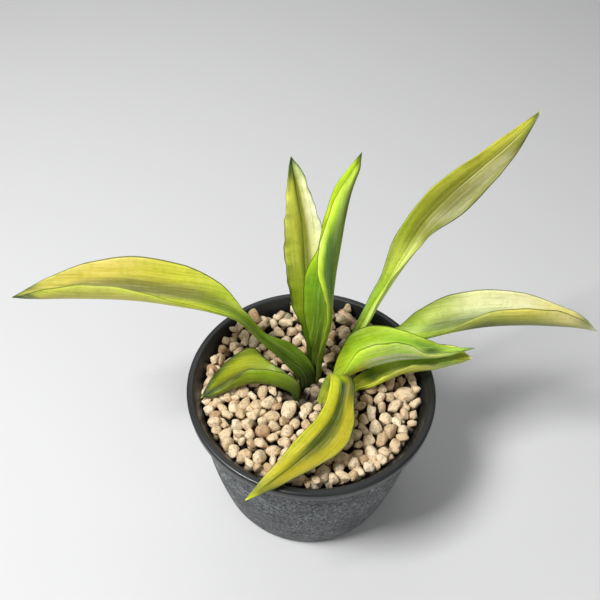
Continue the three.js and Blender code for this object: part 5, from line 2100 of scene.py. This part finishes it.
@dataclass
class Studio:
    """Floor, lights and camera. Lengths in metres, angles in degrees."""

    groups: Groups
    camera_at: Triple = (-0.00822, -0.23649, 0.41076)
    tilt: float = 46.83
    roll: float = 2.12
    lens: float = 42.0
    sensor: float = 36.0
    floor_size: float = 3.0
    aim_height: float = 0.1
    surround_tone: Colour = (0.96, 0.97, 1.0, 1)
    surround_power: float = 0.22

    def build(self) -> None:
        """Sets up everything that isn't the plant."""
        self.floor()
        self.lights()
        self.camera()
        log.info("studio: ready")

    def floor(self) -> None:
        """A plain pale floor."""
        half = self.floor_size / 2
        corners = np.array([(-half, -half, 0), (half, -half, 0), (half, half, 0), (-half, half, 0)])
        mesh = bpy.data.meshes.new("floor")
        mesh.from_pydata([tuple(map(float, corner)) for corner in corners], [], [(0, 1, 2, 3)])
        floor = bpy.data.objects.new("floor", mesh)
        bpy.context.scene.collection.objects.link(floor)
        mesh.materials.append(PaleFloor(self.groups).material())

    def lights(self) -> None:
        """A key light, a fill, a light from behind and a soft surround."""
        for lamp in LAMPS:
            light = bpy.data.lights.new(lamp.name, "AREA")
            light.size = lamp.size
            light.energy = lamp.power
            thing = bpy.data.objects.new(lamp.name, light)
            thing.location = lamp.place
            aim = Vector((0, 0, self.aim_height)) - Vector(lamp.place)
            thing.rotation_euler = aim.to_track_quat("-Z", "Y").to_euler()
            bpy.context.scene.collection.objects.link(thing)
        world = bpy.data.worlds.new("surround")
        world.use_nodes = True
        shade = world.node_tree.nodes["Background"]
        shade.inputs[0].default_value = self.surround_tone
        shade.inputs[1].default_value = self.surround_power
        bpy.context.scene.world = world
        bpy.context.scene.view_settings.view_transform = "Standard"

    def camera(self) -> None:
        """Looks down at the plant from the front."""
        tilt, roll = math.radians(self.tilt), math.radians(self.roll)
        back = Vector((0, -math.cos(tilt), math.sin(tilt)))
        flat_right = Vector((1, 0, 0))
        flat_up = back.cross(flat_right)
        right = flat_right * math.cos(roll) + flat_up * math.sin(roll)
        up = flat_up * math.cos(roll) - flat_right * math.sin(roll)
        turn = Matrix((right, up, back)).transposed().to_4x4()
        camera = bpy.data.cameras.new("camera")
        camera.lens = self.lens
        camera.sensor_width = self.sensor
        camera.clip_start = 0.01
        thing = bpy.data.objects.new("camera", camera)
        thing.matrix_world = Matrix.Translation(self.camera_at) @ turn
        bpy.context.scene.collection.objects.link(thing)
        bpy.context.scene.camera = thing


def main() -> None:
    """Builds the plant piece by piece."""
    groups = Groups()
    datum = Datum.from_frame()
    Studio(groups).build()
    pot = Pot(datum, groups)
    pot.build()
    Filling(groups).build()
    leaves = [Leaf(name, datum, groups) for name in LEAF_ROWS]
    for leaf in leaves:
        leaf.build()
    Pumice(datum, pot, groups, np.vstack([leaf.vertices for leaf in leaves])).build()
    bpy.context.view_layer.update()


if __name__ == "__main__":
    main()
